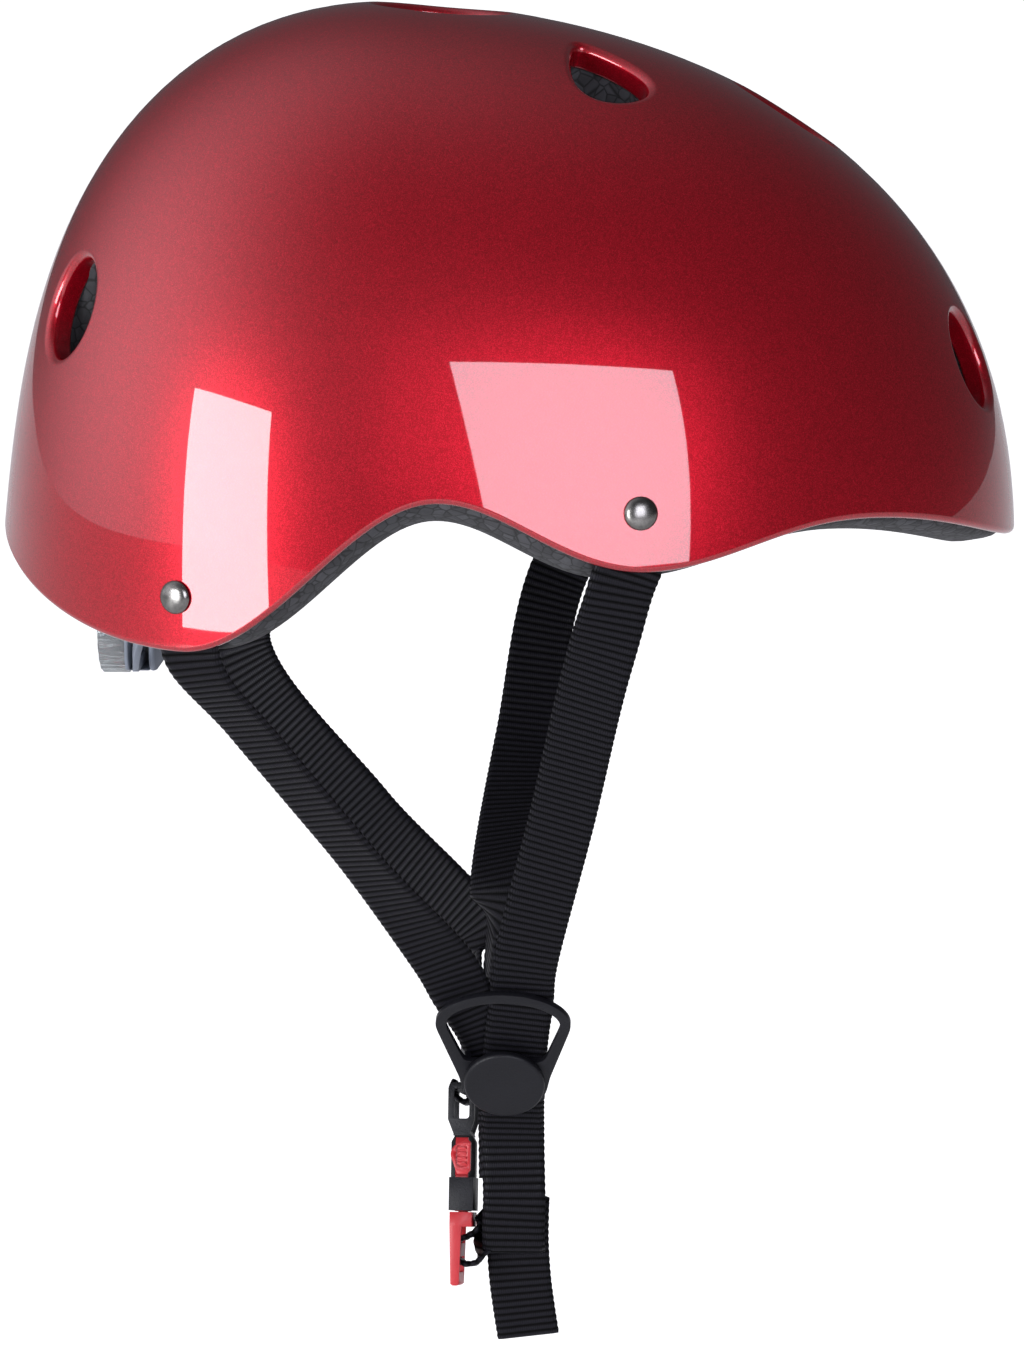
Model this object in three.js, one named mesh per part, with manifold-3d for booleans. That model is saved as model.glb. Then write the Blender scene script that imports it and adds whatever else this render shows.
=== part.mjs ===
// Skate-style multi-sport helmet: a hard shell riveted to a webbing harness, with a foam
// liner, comfort pads, a dial-adjusted nape band and a side-release chin buckle.
//
// Millimetres. +X is the front, +Y the wearer's left and +Z up. The origin is on the flat
// underside of the crown pad, where the helmet rests on the head.

import * as THREE from 'three';
import { mergeVertices } from 'three/addons/utils/BufferGeometryUtils.js';
import Module from 'manifold-3d';

const wasm = await Module();
wasm.setup();

// ---------------------------------------------------------------- driving dimensions

// The shell's outer surface is a distance from a centre inside it, by direction.
const CENTRE = new THREE.Vector3(-20, 0, -132);
const FRONT_REACH = 155;
const REAR_REACH = 115;
const HALF_WIDTH = 105;
const CROWN_HEIGHT = 163.2;
const ROUNDNESS = 2.2;
const FULLNESS = [-0.075, 0.052, 0.148];

// The lower edge swings between these heights: [degrees round from the front, height].
const EDGE_TURNS = [[0, -107], [34, -93], [58, -103], [85, -85.6], [121, -124.5], [180, -103]];

const SHELL_WALL = 3;
const FIT_GAP = 0.8;
const LINER_CROWN = 17.5;
const LINER_RIM = 13;
const RIM_DROP = 2;
const AROUND = 40;
const ROWS = 9;

// Vents: direction of the middle, half sizes across and up the slope, narrowing to the top.
const VENTS = [
  { name: 'crown', theta: 0, phi: 1.2, across: 15.5, along: 18, taper: 0 },
  { name: 'front_top', theta: 0, phi: 35, across: 10.5, along: 15.5, taper: 0.15 },
  { name: 'side_top', theta: 36, phi: 21.5, across: 9, along: 13.5, taper: 0.5, pair: true },
  { name: 'front', theta: 9.5, phi: 63, across: 11.5, along: 13, taper: 0, pair: true },
  { name: 'rear', theta: 150, phi: 49, across: 12, along: 13.5, taper: 0, pair: true },
];
const VENT_SIDES = 14;
const LINER_VENT_STEP = 1.5;

const RIVETS = { front: { theta: 58.5, phi: 68.8 }, rear: { theta: 121, phi: 79 } };
const RIVET_HEAD = 4.2;
const RIVET_SHANK = 2.2;
const RIVET_DOME = 2;
const WASHER = 5.5;

const WEB_WIDTH = 16.6;
const WEB_THICK = 1.4;
const WEB_CLEAR = 0.35;
const WEB_SETBACK = 1.3;
const WEB_INSET = SHELL_WALL + WEB_SETBACK + WEB_THICK / 2;
const POCKET_WIDTH = 20;
const POCKET_DEPTH = 6.5;

const DOUBLED = 3;
const LAYERS = -2.2;
const RIGHT_RUN_END = -288;
const UPPER_STRAPS = {
  front: { leads: [8.4, 6.8, 4.2], layer: -1.2, drop: 19, shift: -2 },
  rear: { leads: [-14.3, -9.5, -4.6], layer: -3.4, drop: 18, shift: 2 },
};

const LEAD_RISES = [23, 12, 0];

// Where each strap hangs between the shell and its divider, with the direction of its width.
// The right pair is drawn tight and the left pair hangs further back.
const UPPER_ROUTES = {
  right_front: [[[26.5, -82, -133], [1, 0, 0]], [[19, -62, -172], [1, 0, 0]]],
  right_rear: [[[-64, -77, -149], [0.6, -0.75, 0.2]], [[-41, -61, -181], [0.6, -0.75, 0.2]]],
  left_front: [[[15, 88, -132], [1, 0, 0]], [[3, 66, -178], [1, 0, 0.05]]],
  left_rear: [[[-78, 83, -156], [0.85, -0.2, 0.5]], [[-44, 57, -202], [0.78, 0, 0.62]]],
};

// Strap dividers: middle of the round cap, lean of the strap from upright, turn about it,
// and how far above the cap's middle the front and rear straps meet.
const DIVIDERS = {
  right: { side: -1, origin: [1.6, -27, -252], lean: 25, turn: 0, junction: 13 },
  left: { side: 1, origin: [-4.8, 9.4, -255.4], lean: 27, turn: -80, junction: 18 },
};
const CAP_RADIUS = 10.8;
const DIVIDER_PLATE = 2;
const DIVIDER_RIM = 2.8;
const CHANNEL_DEPTH = 4.6;

// Chin buckle, drawn upright with its width along Y, then leant to the left at the top.
const BUCKLE_X = -11;
const BUCKLE_Y = 5;
const BUCKLE_LEAN = 18;
const BUCKLE_TOP = -263.6;
const BUCKLE_HALF_WIDTH = 12.4;
const BUCKLE_HALF_THICK = 3.3;
const BODY_TOP = -276.7;
const MOUTH = -298.4;
const MALE_END = -318.7;

// Nape adjuster: the dial turns about an axis along X.
const DIAL_Z = -135;
const DIAL_RADIUS = 13;
const RACK_X = -96.8;
const BAND_PIN = { x: -60, y: 72, z: -112 };
const BAND_THICK = 1.6;
const TEETH = 10;
const PITCH_RADIUS = 4.5;

const RED = { color: 0xa40f1c, roughness: 0.18, metalness: 0.35 };
const CHARCOAL = { color: 0x2b2c2f, roughness: 0.9, metalness: 0 };
const FELT = { color: 0x151516, roughness: 1, metalness: 0 };
const STEEL = { color: 0x6d6f72, roughness: 0.3, metalness: 1 };
const WEBBING = { color: 0x131315, roughness: 0.85, metalness: 0 };
const BLACK_PLASTIC = { color: 0x18191b, roughness: 0.45, metalness: 0 };
const RED_PLASTIC = { color: 0xc81e24, roughness: 0.4, metalness: 0 };
const GREY_PLASTIC = { color: 0x5d6470, roughness: 0.5, metalness: 0 };
const CLEAR_PLASTIC = { color: 0xdde6ea, roughness: 0.1, metalness: 0 };

// ---------------------------------------------------------------- small tools

const vec = (x, y, z) => new THREE.Vector3(x, y, z);
const radians = THREE.MathUtils.degToRad;
const lerp = THREE.MathUtils.lerp;
const UP = vec(0, 0, 1);

const helmet = new THREE.Group();

function addPart(name, geometry, finish) {
  const mesh = new THREE.Mesh(geometry, new THREE.MeshStandardMaterial(finish));
  mesh.name = name;
  helmet.add(mesh);
}

function geometryOf(points, triangles) {
  const geometry = new THREE.BufferGeometry();
  const numbers = points.flatMap((p) => p.toArray());
  geometry.setAttribute('position', new THREE.Float32BufferAttribute(numbers, 3));
  geometry.setIndex(triangles);
  geometry.computeVertexNormals();
  return geometry;
}

function solidOf(geometry) {
  const bare = geometry.clone();
  bare.deleteAttribute('normal');
  bare.deleteAttribute('uv');
  const merged = mergeVertices(bare, 1e-4);
  return new wasm.Manifold(new wasm.Mesh({
    numProp: 3,
    vertProperties: merged.attributes.position.array,
    triVerts: new Uint32Array(merged.index.array),
  }));
}

function geometryFrom(solid) {
  const mesh = solid.getMesh();
  const geometry = new THREE.BufferGeometry();
  geometry.setAttribute('position', new THREE.BufferAttribute(new Float32Array(mesh.vertProperties), 3));
  geometry.setIndex([...mesh.triVerts]);
  geometry.computeVertexNormals();
  return geometry;
}

function box(x0, x1, y0, y1, z0, z1) {
  const geometry = new THREE.BoxGeometry(x1 - x0, y1 - y0, z1 - z0);
  geometry.translate((x0 + x1) / 2, (y0 + y1) / 2, (z0 + z1) / 2);
  return geometry;
}

const BUCKLE_PLACE = new THREE.Matrix4().makeTranslation(0, BUCKLE_Y, BUCKLE_TOP)
  .multiply(new THREE.Matrix4().makeRotationX(-radians(BUCKLE_LEAN)))
  .multiply(new THREE.Matrix4().makeTranslation(0, 0, -BUCKLE_TOP));

// A point by its distances in front of the buckle's middle and above its top.
const onBuckle = (x, z) => vec(BUCKLE_X + x, 0, BUCKLE_TOP + z).applyMatrix4(BUCKLE_PLACE);

// A flat outline given thickness: it lies in the plane of axes u and v and grows along n.
function prism(outline, place, from, to) {
  const shape = new THREE.Shape(outline.map(([u, v]) => new THREE.Vector2(u, v)));
  const geometry = new THREE.ExtrudeGeometry(shape, { depth: to - from, bevelEnabled: false });
  geometry.translate(0, 0, from);
  return geometry.applyMatrix4(place);
}

function placeAt(origin, u, v, n) {
  return new THREE.Matrix4().makeBasis(u, v, n).setPosition(origin);
}

// A turned piece: profile of [radius, height] closed on itself or on its axis, turned about n.
function turned(profile, place, sides) {
  const geometry = new THREE.LatheGeometry(profile.map(([r, h]) => new THREE.Vector2(r, h)), sides);
  geometry.rotateX(Math.PI / 2);
  return geometry.applyMatrix4(place);
}

// ---------------------------------------------------------------- shell surface

function shellRadius(d) {
  const reach = d.x > 0 ? FRONT_REACH : REAR_REACH;
  const sum = Math.abs(d.x / reach) ** ROUNDNESS
    + Math.abs(d.y / HALF_WIDTH) ** ROUNDNESS
    + Math.abs(d.z / CROWN_HEIGHT) ** ROUNDNESS;
  const [lift, spread, nose] = FULLNESS;
  const fullness = 1 + d.z * (lift * d.x + spread * d.x ** 2 * d.z + nose * d.x ** 3);
  return sum ** (-1 / ROUNDNESS) * fullness;
}

// A point by angle round from the front and angle down from the crown, set in by a depth.
function shellPoint(theta, phi, inset = 0) {
  const d = vec(Math.sin(phi) * Math.cos(theta), Math.sin(phi) * Math.sin(theta), Math.cos(phi));
  return d.clone().multiplyScalar(shellRadius(d) - inset).add(CENTRE);
}

function shellFrame(theta, phi, inset = 0) {
  const step = 0.002;
  const down = shellPoint(theta, phi + step).sub(shellPoint(theta, phi - step));
  const round = shellPoint(theta + step, phi).sub(shellPoint(theta - step, phi));
  const n = down.cross(round).normalize();
  const u = UP.clone().cross(n).normalize();
  const v = n.clone().cross(u);
  const origin = shellPoint(theta, phi).addScaledVector(n, -inset);
  return { origin, u, v, n, place: placeAt(origin, u, v, n) };
}

function edgeHeight(theta) {
  const turn = Math.abs(THREE.MathUtils.radToDeg(Math.atan2(Math.sin(theta), Math.cos(theta))));
  const next = Math.max(1, EDGE_TURNS.findIndex(([at]) => at >= turn - 1e-9));
  const [[from, start], [to, end]] = EDGE_TURNS.slice(next - 1, next + 1);
  const blend = 0.5 - 0.5 * Math.cos(Math.PI * (turn - from) / (to - from));
  return lerp(start, end, blend);
}

function phiAtHeight(theta, height) {
  let low = 0.2;
  let high = 2.2;
  for (let step = 0; step < 40; step++) {
    const middle = (low + high) / 2;
    if (shellPoint(theta, middle).z > height) {
      low = middle;
    } else {
      high = middle;
    }
  }
  return low;
}

// How far the liner's inner surface lies below the shell's outer one.
function linerInset(phi, edgePhi) {
  const share = THREE.MathUtils.smoothstep(phi / edgePhi, 0.55, 1);
  return SHELL_WALL + FIT_GAP + lerp(LINER_CROWN, LINER_RIM, share);
}

function linerInner(theta, phi, gap = 0) {
  const edge = phiAtHeight(theta, edgeHeight(theta));
  return shellPoint(theta, phi, linerInset(phi, edge) + gap);
}

// A domed skin between two surfaces that share rows of directions.
function dome(outside, inside, rows) {
  const points = [outside(0, 0), inside(0, 0)];
  const triangles = [];
  const at = (side, i, j) => (j === 0 ? side : 2 + ((j - 1) * AROUND + (i % AROUND)) * 2 + side);
  for (let j = 1; j <= rows; j++) {
    for (let i = 0; i < AROUND; i++) {
      const theta = 2 * Math.PI * i / AROUND;
      points.push(outside(theta, j), inside(theta, j));
    }
  }
  for (let i = 0; i < AROUND; i++) {
    triangles.push(at(0, i, 0), at(0, i, 1), at(0, i + 1, 1));
    triangles.push(at(1, i, 0), at(1, i + 1, 1), at(1, i, 1));
    for (let j = 1; j < rows; j++) {
      triangles.push(at(0, i, j), at(0, i, j + 1), at(0, i + 1, j + 1));
      triangles.push(at(0, i, j), at(0, i + 1, j + 1), at(0, i + 1, j));
      triangles.push(at(1, i, j), at(1, i + 1, j + 1), at(1, i, j + 1));
      triangles.push(at(1, i, j), at(1, i + 1, j), at(1, i + 1, j + 1));
    }
    triangles.push(at(0, i, rows), at(1, i, rows), at(1, i + 1, rows));
    triangles.push(at(0, i, rows), at(1, i + 1, rows), at(0, i + 1, rows));
  }
  return geometryOf(points, triangles);
}

// ---------------------------------------------------------------- shell, liner and vents

function ventOutline(vent, step) {
  const outline = [];
  for (let k = 0; k < VENT_SIDES; k++) {
    const angle = 2 * Math.PI * k / VENT_SIDES;
    const across = (vent.across - step) * Math.cos(angle) * (1 - vent.taper * Math.sin(angle));
    outline.push([across, (vent.along - step) * Math.sin(angle)]);
  }
  return outline;
}

function ventCutters(step, reach) {
  return VENTS.flatMap((vent) => (vent.pair ? [-1, 1] : [1]).map((side) => {
    const frame = shellFrame(side * radians(vent.theta), radians(vent.phi));
    return solidOf(prism(ventOutline(vent, step), frame.place, -reach, 8));
  }));
}

function rivetFrame(end, side, inset = 0) {
  const { theta, phi } = RIVETS[end];
  return shellFrame(side * radians(theta), radians(phi), inset);
}

const SIDES = { right: -1, left: 1 };
const ENDS = ['front', 'rear'];
const CORNERS = Object.entries(SIDES).flatMap(([name, side]) => (
  ENDS.map((end) => ({ name, side, end }))
));

function makeShell() {
  const edge = (theta) => phiAtHeight(theta, edgeHeight(theta));
  const skin = (inset) => (theta, row) => shellPoint(theta, edge(theta) * row / ROWS, inset);
  let solid = solidOf(dome(skin(0), skin(SHELL_WALL), ROWS));
  for (const cutter of ventCutters(0, 12)) {
    solid = solid.subtract(cutter);
  }
  for (const { side, end } of CORNERS) {
    const hole = [[0, -8], [RIVET_SHANK + 0.35, -8], [RIVET_SHANK + 0.35, 6], [0, 6]];
    solid = solid.subtract(solidOf(turned(hole, rivetFrame(end, side).place, 12)));
  }
  addPart('outer_shell', geometryFrom(solid), RED);
}

function makeLiner() {
  const edge = (theta) => phiAtHeight(theta, edgeHeight(theta));
  const lip = (theta) => phiAtHeight(theta, edgeHeight(theta) - RIM_DROP);
  const phiOf = (theta, row) => (row > ROWS ? lip(theta) : edge(theta) * row / ROWS);
  const outside = (theta, row) => shellPoint(theta, phiOf(theta, row), SHELL_WALL + FIT_GAP);
  const inside = (theta, row) => {
    const phi = phiOf(theta, row);
    return shellPoint(theta, phi, linerInset(phi, lip(theta)));
  };
  let solid = solidOf(dome(outside, inside, ROWS + 1));
  for (const cutter of ventCutters(LINER_VENT_STEP, 60)) {
    solid = solid.subtract(cutter);
  }
  for (const { side, end } of CORNERS) {
    const frame = rivetFrame(end, side);
    const half = POCKET_WIDTH / 2;
    const outline = [[-half, -40], [half, -40], [half, 10], [-half, 10]];
    const pocket = prism(outline, frame.place, -SHELL_WALL - POCKET_DEPTH, 0);
    solid = solid.subtract(solidOf(pocket));
  }
  addPart('foam_liner', geometryFrom(solid), CHARCOAL);
}

// ---------------------------------------------------------------- rivets and washers

function makeRivets() {
  for (const { name, side, end } of CORNERS) {
    const { place } = rivetFrame(end, side);
    const webOut = -SHELL_WALL - WEB_SETBACK;
    const washerOut = webOut - WEB_THICK - WEB_CLEAR;
    const tail = washerOut - 1 - WEB_CLEAR;
    const profile = [[0, tail - 1], [RIVET_SHANK + 1.6, tail - 1], [RIVET_SHANK + 1.6, tail],
      [RIVET_SHANK, tail], [RIVET_SHANK, 0.35], [RIVET_HEAD, 0.35], [RIVET_HEAD * 0.94, 1],
      [RIVET_HEAD * 0.7, RIVET_DOME * 0.8], [0, RIVET_DOME + 0.2]];
    addPart(`rivet_${end}_${name}`, turned(profile, place, 16), STEEL);
    const bore = RIVET_SHANK + 0.35;
    const ring = [[bore, washerOut - 1], [WASHER, washerOut - 1], [WASHER, washerOut], [bore, washerOut],
      [bore, washerOut - 1]];
    addPart(`rivet_washer_${end}_${name}`, turned(ring, place, 16), STEEL);
  }
}

// ---------------------------------------------------------------- comfort pads

// A pad between two surfaces, as rings of points spread from its middle.
function padSolid(outer, inner, sectors, rings) {
  const points = [outer(0, 0), inner(0, 0)];
  const triangles = [];
  const at = (side, s, r) => (r === 0 ? side : 2 + ((r - 1) * sectors + (s % sectors)) * 2 + side);
  for (let r = 1; r <= rings; r++) {
    for (let s = 0; s < sectors; s++) {
      const angle = 2 * Math.PI * s / sectors;
      const square = (value) => Math.sign(value) * Math.abs(value) ** 0.6;
      const a = square(Math.cos(angle)) * r / rings;
      const b = square(Math.sin(angle)) * r / rings;
      points.push(outer(a, b), inner(a, b));
    }
  }
  for (let s = 0; s < sectors; s++) {
    triangles.push(at(0, s, 0), at(0, s, 1), at(0, s + 1, 1));
    triangles.push(at(1, s, 0), at(1, s + 1, 1), at(1, s, 1));
    for (let r = 1; r < rings; r++) {
      triangles.push(at(0, s, r), at(0, s, r + 1), at(0, s + 1, r + 1));
      triangles.push(at(0, s, r), at(0, s + 1, r + 1), at(0, s + 1, r));
      triangles.push(at(1, s, r), at(1, s + 1, r + 1), at(1, s, r + 1));
      triangles.push(at(1, s, r), at(1, s + 1, r), at(1, s + 1, r + 1));
    }
    triangles.push(at(0, s, rings), at(1, s, rings), at(1, s + 1, rings));
    triangles.push(at(0, s, rings), at(1, s + 1, rings), at(0, s + 1, rings));
  }
  return geometryOf(points, triangles);
}

const PAD_GAP = 1.3;
const PAD_THICK = 6;
const CROWN_PAD = { middle: -13, halfLength: 30, halfWidth: 24, headroom: 141 };
const WALL_PADS = {
  front_pad: { theta: 0, phi: 59, halfTheta: 32, halfPhi: 12, gap: 1 },
  side_pad_right: { theta: -84, phi: 52, halfTheta: 22, halfPhi: 10 },
  side_pad_left: { theta: 84, phi: 52, halfTheta: 22, halfPhi: 10 },
  rear_pad_right: { theta: -150, phi: 55, halfTheta: 17, halfPhi: 17 },
  rear_pad_left: { theta: 150, phi: 55, halfTheta: 17, halfPhi: 17 },
};

function makePads() {
  const crownTop = (a, b) => {
    const x = CROWN_PAD.middle - CENTRE.x + CROWN_PAD.halfLength * a;
    const y = CROWN_PAD.halfWidth * b;
    return linerInner(Math.atan2(y, x), Math.atan2(Math.hypot(x, y), CROWN_PAD.headroom), PAD_GAP);
  };
  const crownUnder = (a, b) => crownTop(a, b).setZ(0);
  addPart('crown_pad', padSolid(crownTop, crownUnder, 20, 2), FELT);
  for (const [name, pad] of Object.entries(WALL_PADS)) {
    const surface = (depth) => (a, b) => {
      const theta = radians(pad.theta + pad.halfTheta * a);
      return linerInner(theta, radians(pad.phi - pad.halfPhi * b), depth);
    };
    const gap = PAD_GAP + (pad.gap ?? 0);
    addPart(name, padSolid(surface(gap), surface(gap + PAD_THICK), 16, 3), FELT);
  }
}

// ---------------------------------------------------------------- webbing

// A flat band along a smooth route. Each stop holds a point, the direction of the band's
// width there and, if it differs, the width itself.
function ribbon(stops, thick, width, steps) {
  const curve = new THREE.CatmullRomCurve3(stops.map((stop) => stop.point), false, 'centripetal');
  const points = [];
  const triangles = [];
  for (let k = 0; k <= steps; k++) {
    const t = k / steps;
    const along = t * (stops.length - 1);
    const from = Math.min(Math.floor(along), stops.length - 2);
    const share = along - from;
    const tangent = curve.getTangent(t);
    const across = stops[from].across.clone().lerp(stops[from + 1].across, share);
    across.addScaledVector(tangent, -across.dot(tangent)).normalize();
    const half = lerp(stops[from].width ?? width, stops[from + 1].width ?? width, share) / 2;
    const normal = tangent.clone().cross(across);
    const middle = curve.getPoint(t);
    for (const [a, n] of [[-1, -1], [1, -1], [1, 1], [-1, 1]]) {
      points.push(middle.clone().addScaledVector(across, a * half).addScaledVector(normal, n * thick / 2));
    }
  }
  for (let k = 0; k < steps; k++) {
    for (let c = 0; c < 4; c++) {
      const a = 4 * k + c;
      const b = 4 * k + (c + 1) % 4;
      const split = c === 2 ? [a, b, a + 4, b, b + 4, a + 4] : [a, b, b + 4, a, b + 4, a + 4];
      triangles.push(...split);
    }
  }
  const last = 4 * steps;
  triangles.push(0, 2, 1, 0, 3, 2, last, last + 1, last + 2, last, last + 2, last + 3);
  return geometryOf(points, triangles);
}

// Axes of a strap divider: across it, v up the strap and n out of its face.
function dividerFrame(name) {
  const { side, origin, lean, turn, junction } = DIVIDERS[name];
  const v = vec(0, side * Math.sin(radians(lean)), Math.cos(radians(lean)));
  const face = vec(0, side * Math.cos(radians(lean)), -Math.sin(radians(lean)));
  const swing = radians(turn);
  const across = vec(Math.cos(swing), 0, 0).addScaledVector(face, Math.sin(swing));
  const n = face.clone().multiplyScalar(Math.cos(swing)).add(vec(-Math.sin(swing), 0, 0));
  const at = (a, b, c) => vec(...origin).addScaledVector(across, a).addScaledVector(v, b)
    .addScaledVector(n, c);
  return { junction, across, v, n, at };
}

// The harness straps: each is riveted inside the shell, leaves below the rim and meets its
// partner behind the divider's top bar, the front strap lying over the rear one.
function makeUpperStraps() {
  for (const { name, side, end } of CORNERS) {
    const anchor = rivetFrame(end, side);
    const divider = dividerFrame(name);
    const { leads, layer, drop, shift } = UPPER_STRAPS[end];
    const inside = (down) => anchor.origin.clone().addScaledVector(anchor.n, -WEB_INSET)
      .addScaledVector(anchor.v, -down);
    const across = anchor.u.clone().multiplyScalar(-side);
    const exit = inside(drop).add(vec(shift, -side * 1.6, 0));
    const stops = [
      { point: inside(-7), across },
      { point: inside(6), across },
      { point: exit, across },
      ...UPPER_ROUTES[`${name}_${end}`].map(([place, width]) => ({
        point: vec(...place),
        across: vec(...width),
      })),
      ...leads.map((lead, k) => ({
        point: divider.at(lead, divider.junction + LEAD_RISES[k], layer),
        across: divider.across,
      })),
    ];
    const bore = RIVET_SHANK + WEB_CLEAR;
    const hole = [[0, -12], [bore, -12], [bore, 0], [0, 0]];
    const strap = solidOf(ribbon(stops, WEB_THICK, WEB_WIDTH, 24))
      .subtract(solidOf(turned(hole, anchor.place, 12)));
    addPart(`${name}_${end}_strap`, geometryFrom(strap), WEBBING);
  }
}

// The doubled webbing below each divider. The left run ends in a loop round the buckle's bar.
function makeLowerStraps() {
  const right = dividerFrame('right');
  const hanging = vec(2.6, -17.6, RIGHT_RUN_END);
  addPart('right_lower_strap', ribbon([
    { point: right.at(0, right.junction - 2.5, LAYERS), across: right.across },
    { point: right.at(0, -8, LAYERS), across: right.across },
    { point: right.at(0, -24, LAYERS), across: right.across },
    { point: hanging, across: right.across },
  ], DOUBLED, WEB_WIDTH, 14), WEBBING);

  const left = dividerFrame('left');
  const across = vec(0, -1, 0).transformDirection(BUCKLE_PLACE);
  const bar = (x, z) => ({ point: onBuckle(x, z), across });
  addPart('left_lower_strap', ribbon([
    { point: left.at(0, left.junction - 2.5, LAYERS), across: left.across },
    { point: left.at(0, -6, LAYERS), across: left.across },
    bar(3.6, 0),
    bar(3.2, -2.4),
    bar(0, -5.2),
    bar(-3.2, -2.4),
    bar(-2.8, 1),
  ], WEB_THICK, WEB_WIDTH, 26), WEBBING);
}

// The right webbing's end rides on the buckle's male half: it folds up behind the hanging
// run, passes round the ladder bar and hangs below as the tail.
function makeStrapEnd() {
  const crosswise = vec(1, 0, 0);
  const slanting = vec(0.7, -0.7, 0);
  const lengthwise = vec(0, -1, 0).transformDirection(BUCKLE_PLACE);
  const stop = (x, y, z, across) => ({ point: vec(x, y, z), across });
  const ladder = (x, z) => ({ point: onBuckle(x, z), across: lengthwise });
  addPart('right_strap_end', ribbon([
    stop(2.6, -17.5, RIGHT_RUN_END - 1.5, crosswise),
    stop(2.6, -16.8, -299, crosswise),
    stop(2.6, -14.2, -304, crosswise),
    stop(2.2, -11.4, -299, crosswise),
    stop(-0.6, -8.4, -294.5, slanting),
    ladder(5.2, -36.5),
    ladder(4.6, -40.4),
    ladder(-1, -41.6),
    ladder(-5.2, -43.4),
    ladder(-5.2, -48),
    ladder(-2, -49.6),
    ladder(3.4, -49.4),
    stop(-2.5, -7.5, -309.5, vec(-0.7, -0.7, 0)),
    stop(2.6, -4.6, -306.5, vec(-1, -0.2, 0)),
    stop(4, -5, -301.6, vec(-1, 0, 0)),
    stop(4, -7.2, -300, vec(-1, 0, 0)),
    stop(4, -9.3, -303, vec(-1, 0, 0)),
    stop(4.2, -9.8, -312, vec(-1, 0, 0)),
    stop(4.7, -8.8, -322, vec(-1, 0, 0)),
    stop(5, -7.4, -332, vec(-1, 0, 0)),
  ], WEB_THICK, WEB_WIDTH, 84), WEBBING);
}

// ---------------------------------------------------------------- strap dividers

// The divider's rim: a half round below, shoulders above it and a low arch over the top.
function dividerOutline(inset, floor, floorHalf) {
  const outline = [];
  const low = CAP_RADIUS + 1 - inset;
  if (floor === undefined) {
    for (let k = 0; k <= 8; k++) {
      const angle = Math.PI + Math.PI * k / 8;
      outline.push([low * Math.cos(angle), low * Math.sin(angle)]);
    }
  } else {
    outline.push([-floorHalf, floor], [floorHalf, floor]);
  }
  for (let k = 0; k <= 8; k++) {
    const angle = Math.PI * k / 8;
    outline.push([(18.2 - inset) * Math.cos(angle), 19 + (10.7 - inset) * Math.sin(angle)]);
  }
  return outline;
}

function makeDividers() {
  for (const name of Object.keys(DIVIDERS)) {
    const { v, n, at } = dividerFrame(name);
    const place = placeAt(at(0, 0, 0), v.clone().cross(n), v, n);
    const back = -CHANNEL_DEPTH - DIVIDER_PLATE;
    const half = CAP_RADIUS + 0.6;
    const channel = WEB_WIDTH / 2 + 0.5;
    const plate = solidOf(prism(dividerOutline(0), place, 0, DIVIDER_PLATE));
    const window = solidOf(prism(dividerOutline(DIVIDER_RIM, 8.6, 11.4), place, -1, DIVIDER_PLATE + 1));
    const block = solidOf(prism([[-half, -7], [half, -7], [half, 8], [-half, 8]], place, back, 1));
    const way = solidOf(prism([[-channel, -9], [channel, -9], [channel, 10], [-channel, 10]], place,
      -CHANNEL_DEPTH, 0));
    const frame = plate.subtract(window).add(block).subtract(way);
    addPart(`${name}_divider_frame`, geometryFrom(frame), BLACK_PLASTIC);
    const rise = DIVIDER_PLATE + 0.3;
    const cap = [[0, rise], [CAP_RADIUS, rise], [CAP_RADIUS, rise + 1.2], [CAP_RADIUS * 0.93, rise + 2],
      [CAP_RADIUS * 0.6, rise + 2.4], [0, rise + 2.5]];
    addPart(`${name}_divider_cap`, turned(cap, place, 28), BLACK_PLASTIC);
  }
}

// ---------------------------------------------------------------- chin buckle

// One sprung arm, as distances out from the middle and down from the mouth.
const ARM_OUTLINE = [[7.4, 0.2], [9.9, 0.2], [10.3, -9.4], [11.8, -11.4], [11.8, -17.4], [10.2, -19.8],
  [8.2, -19.8], [7.8, -9]];
const ARM_THICK = 3.2;
const BUCKLE_WALL = 1.3;
const SIDE_WALL = 1.2;
const WINDOW_RISE = 5.8;

function buckleBox(halfThick, y0, y1, z0, z1) {
  return solidOf(box(BUCKLE_X - halfThick, BUCKLE_X + halfThick, y0, y1, z0, z1));
}

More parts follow.
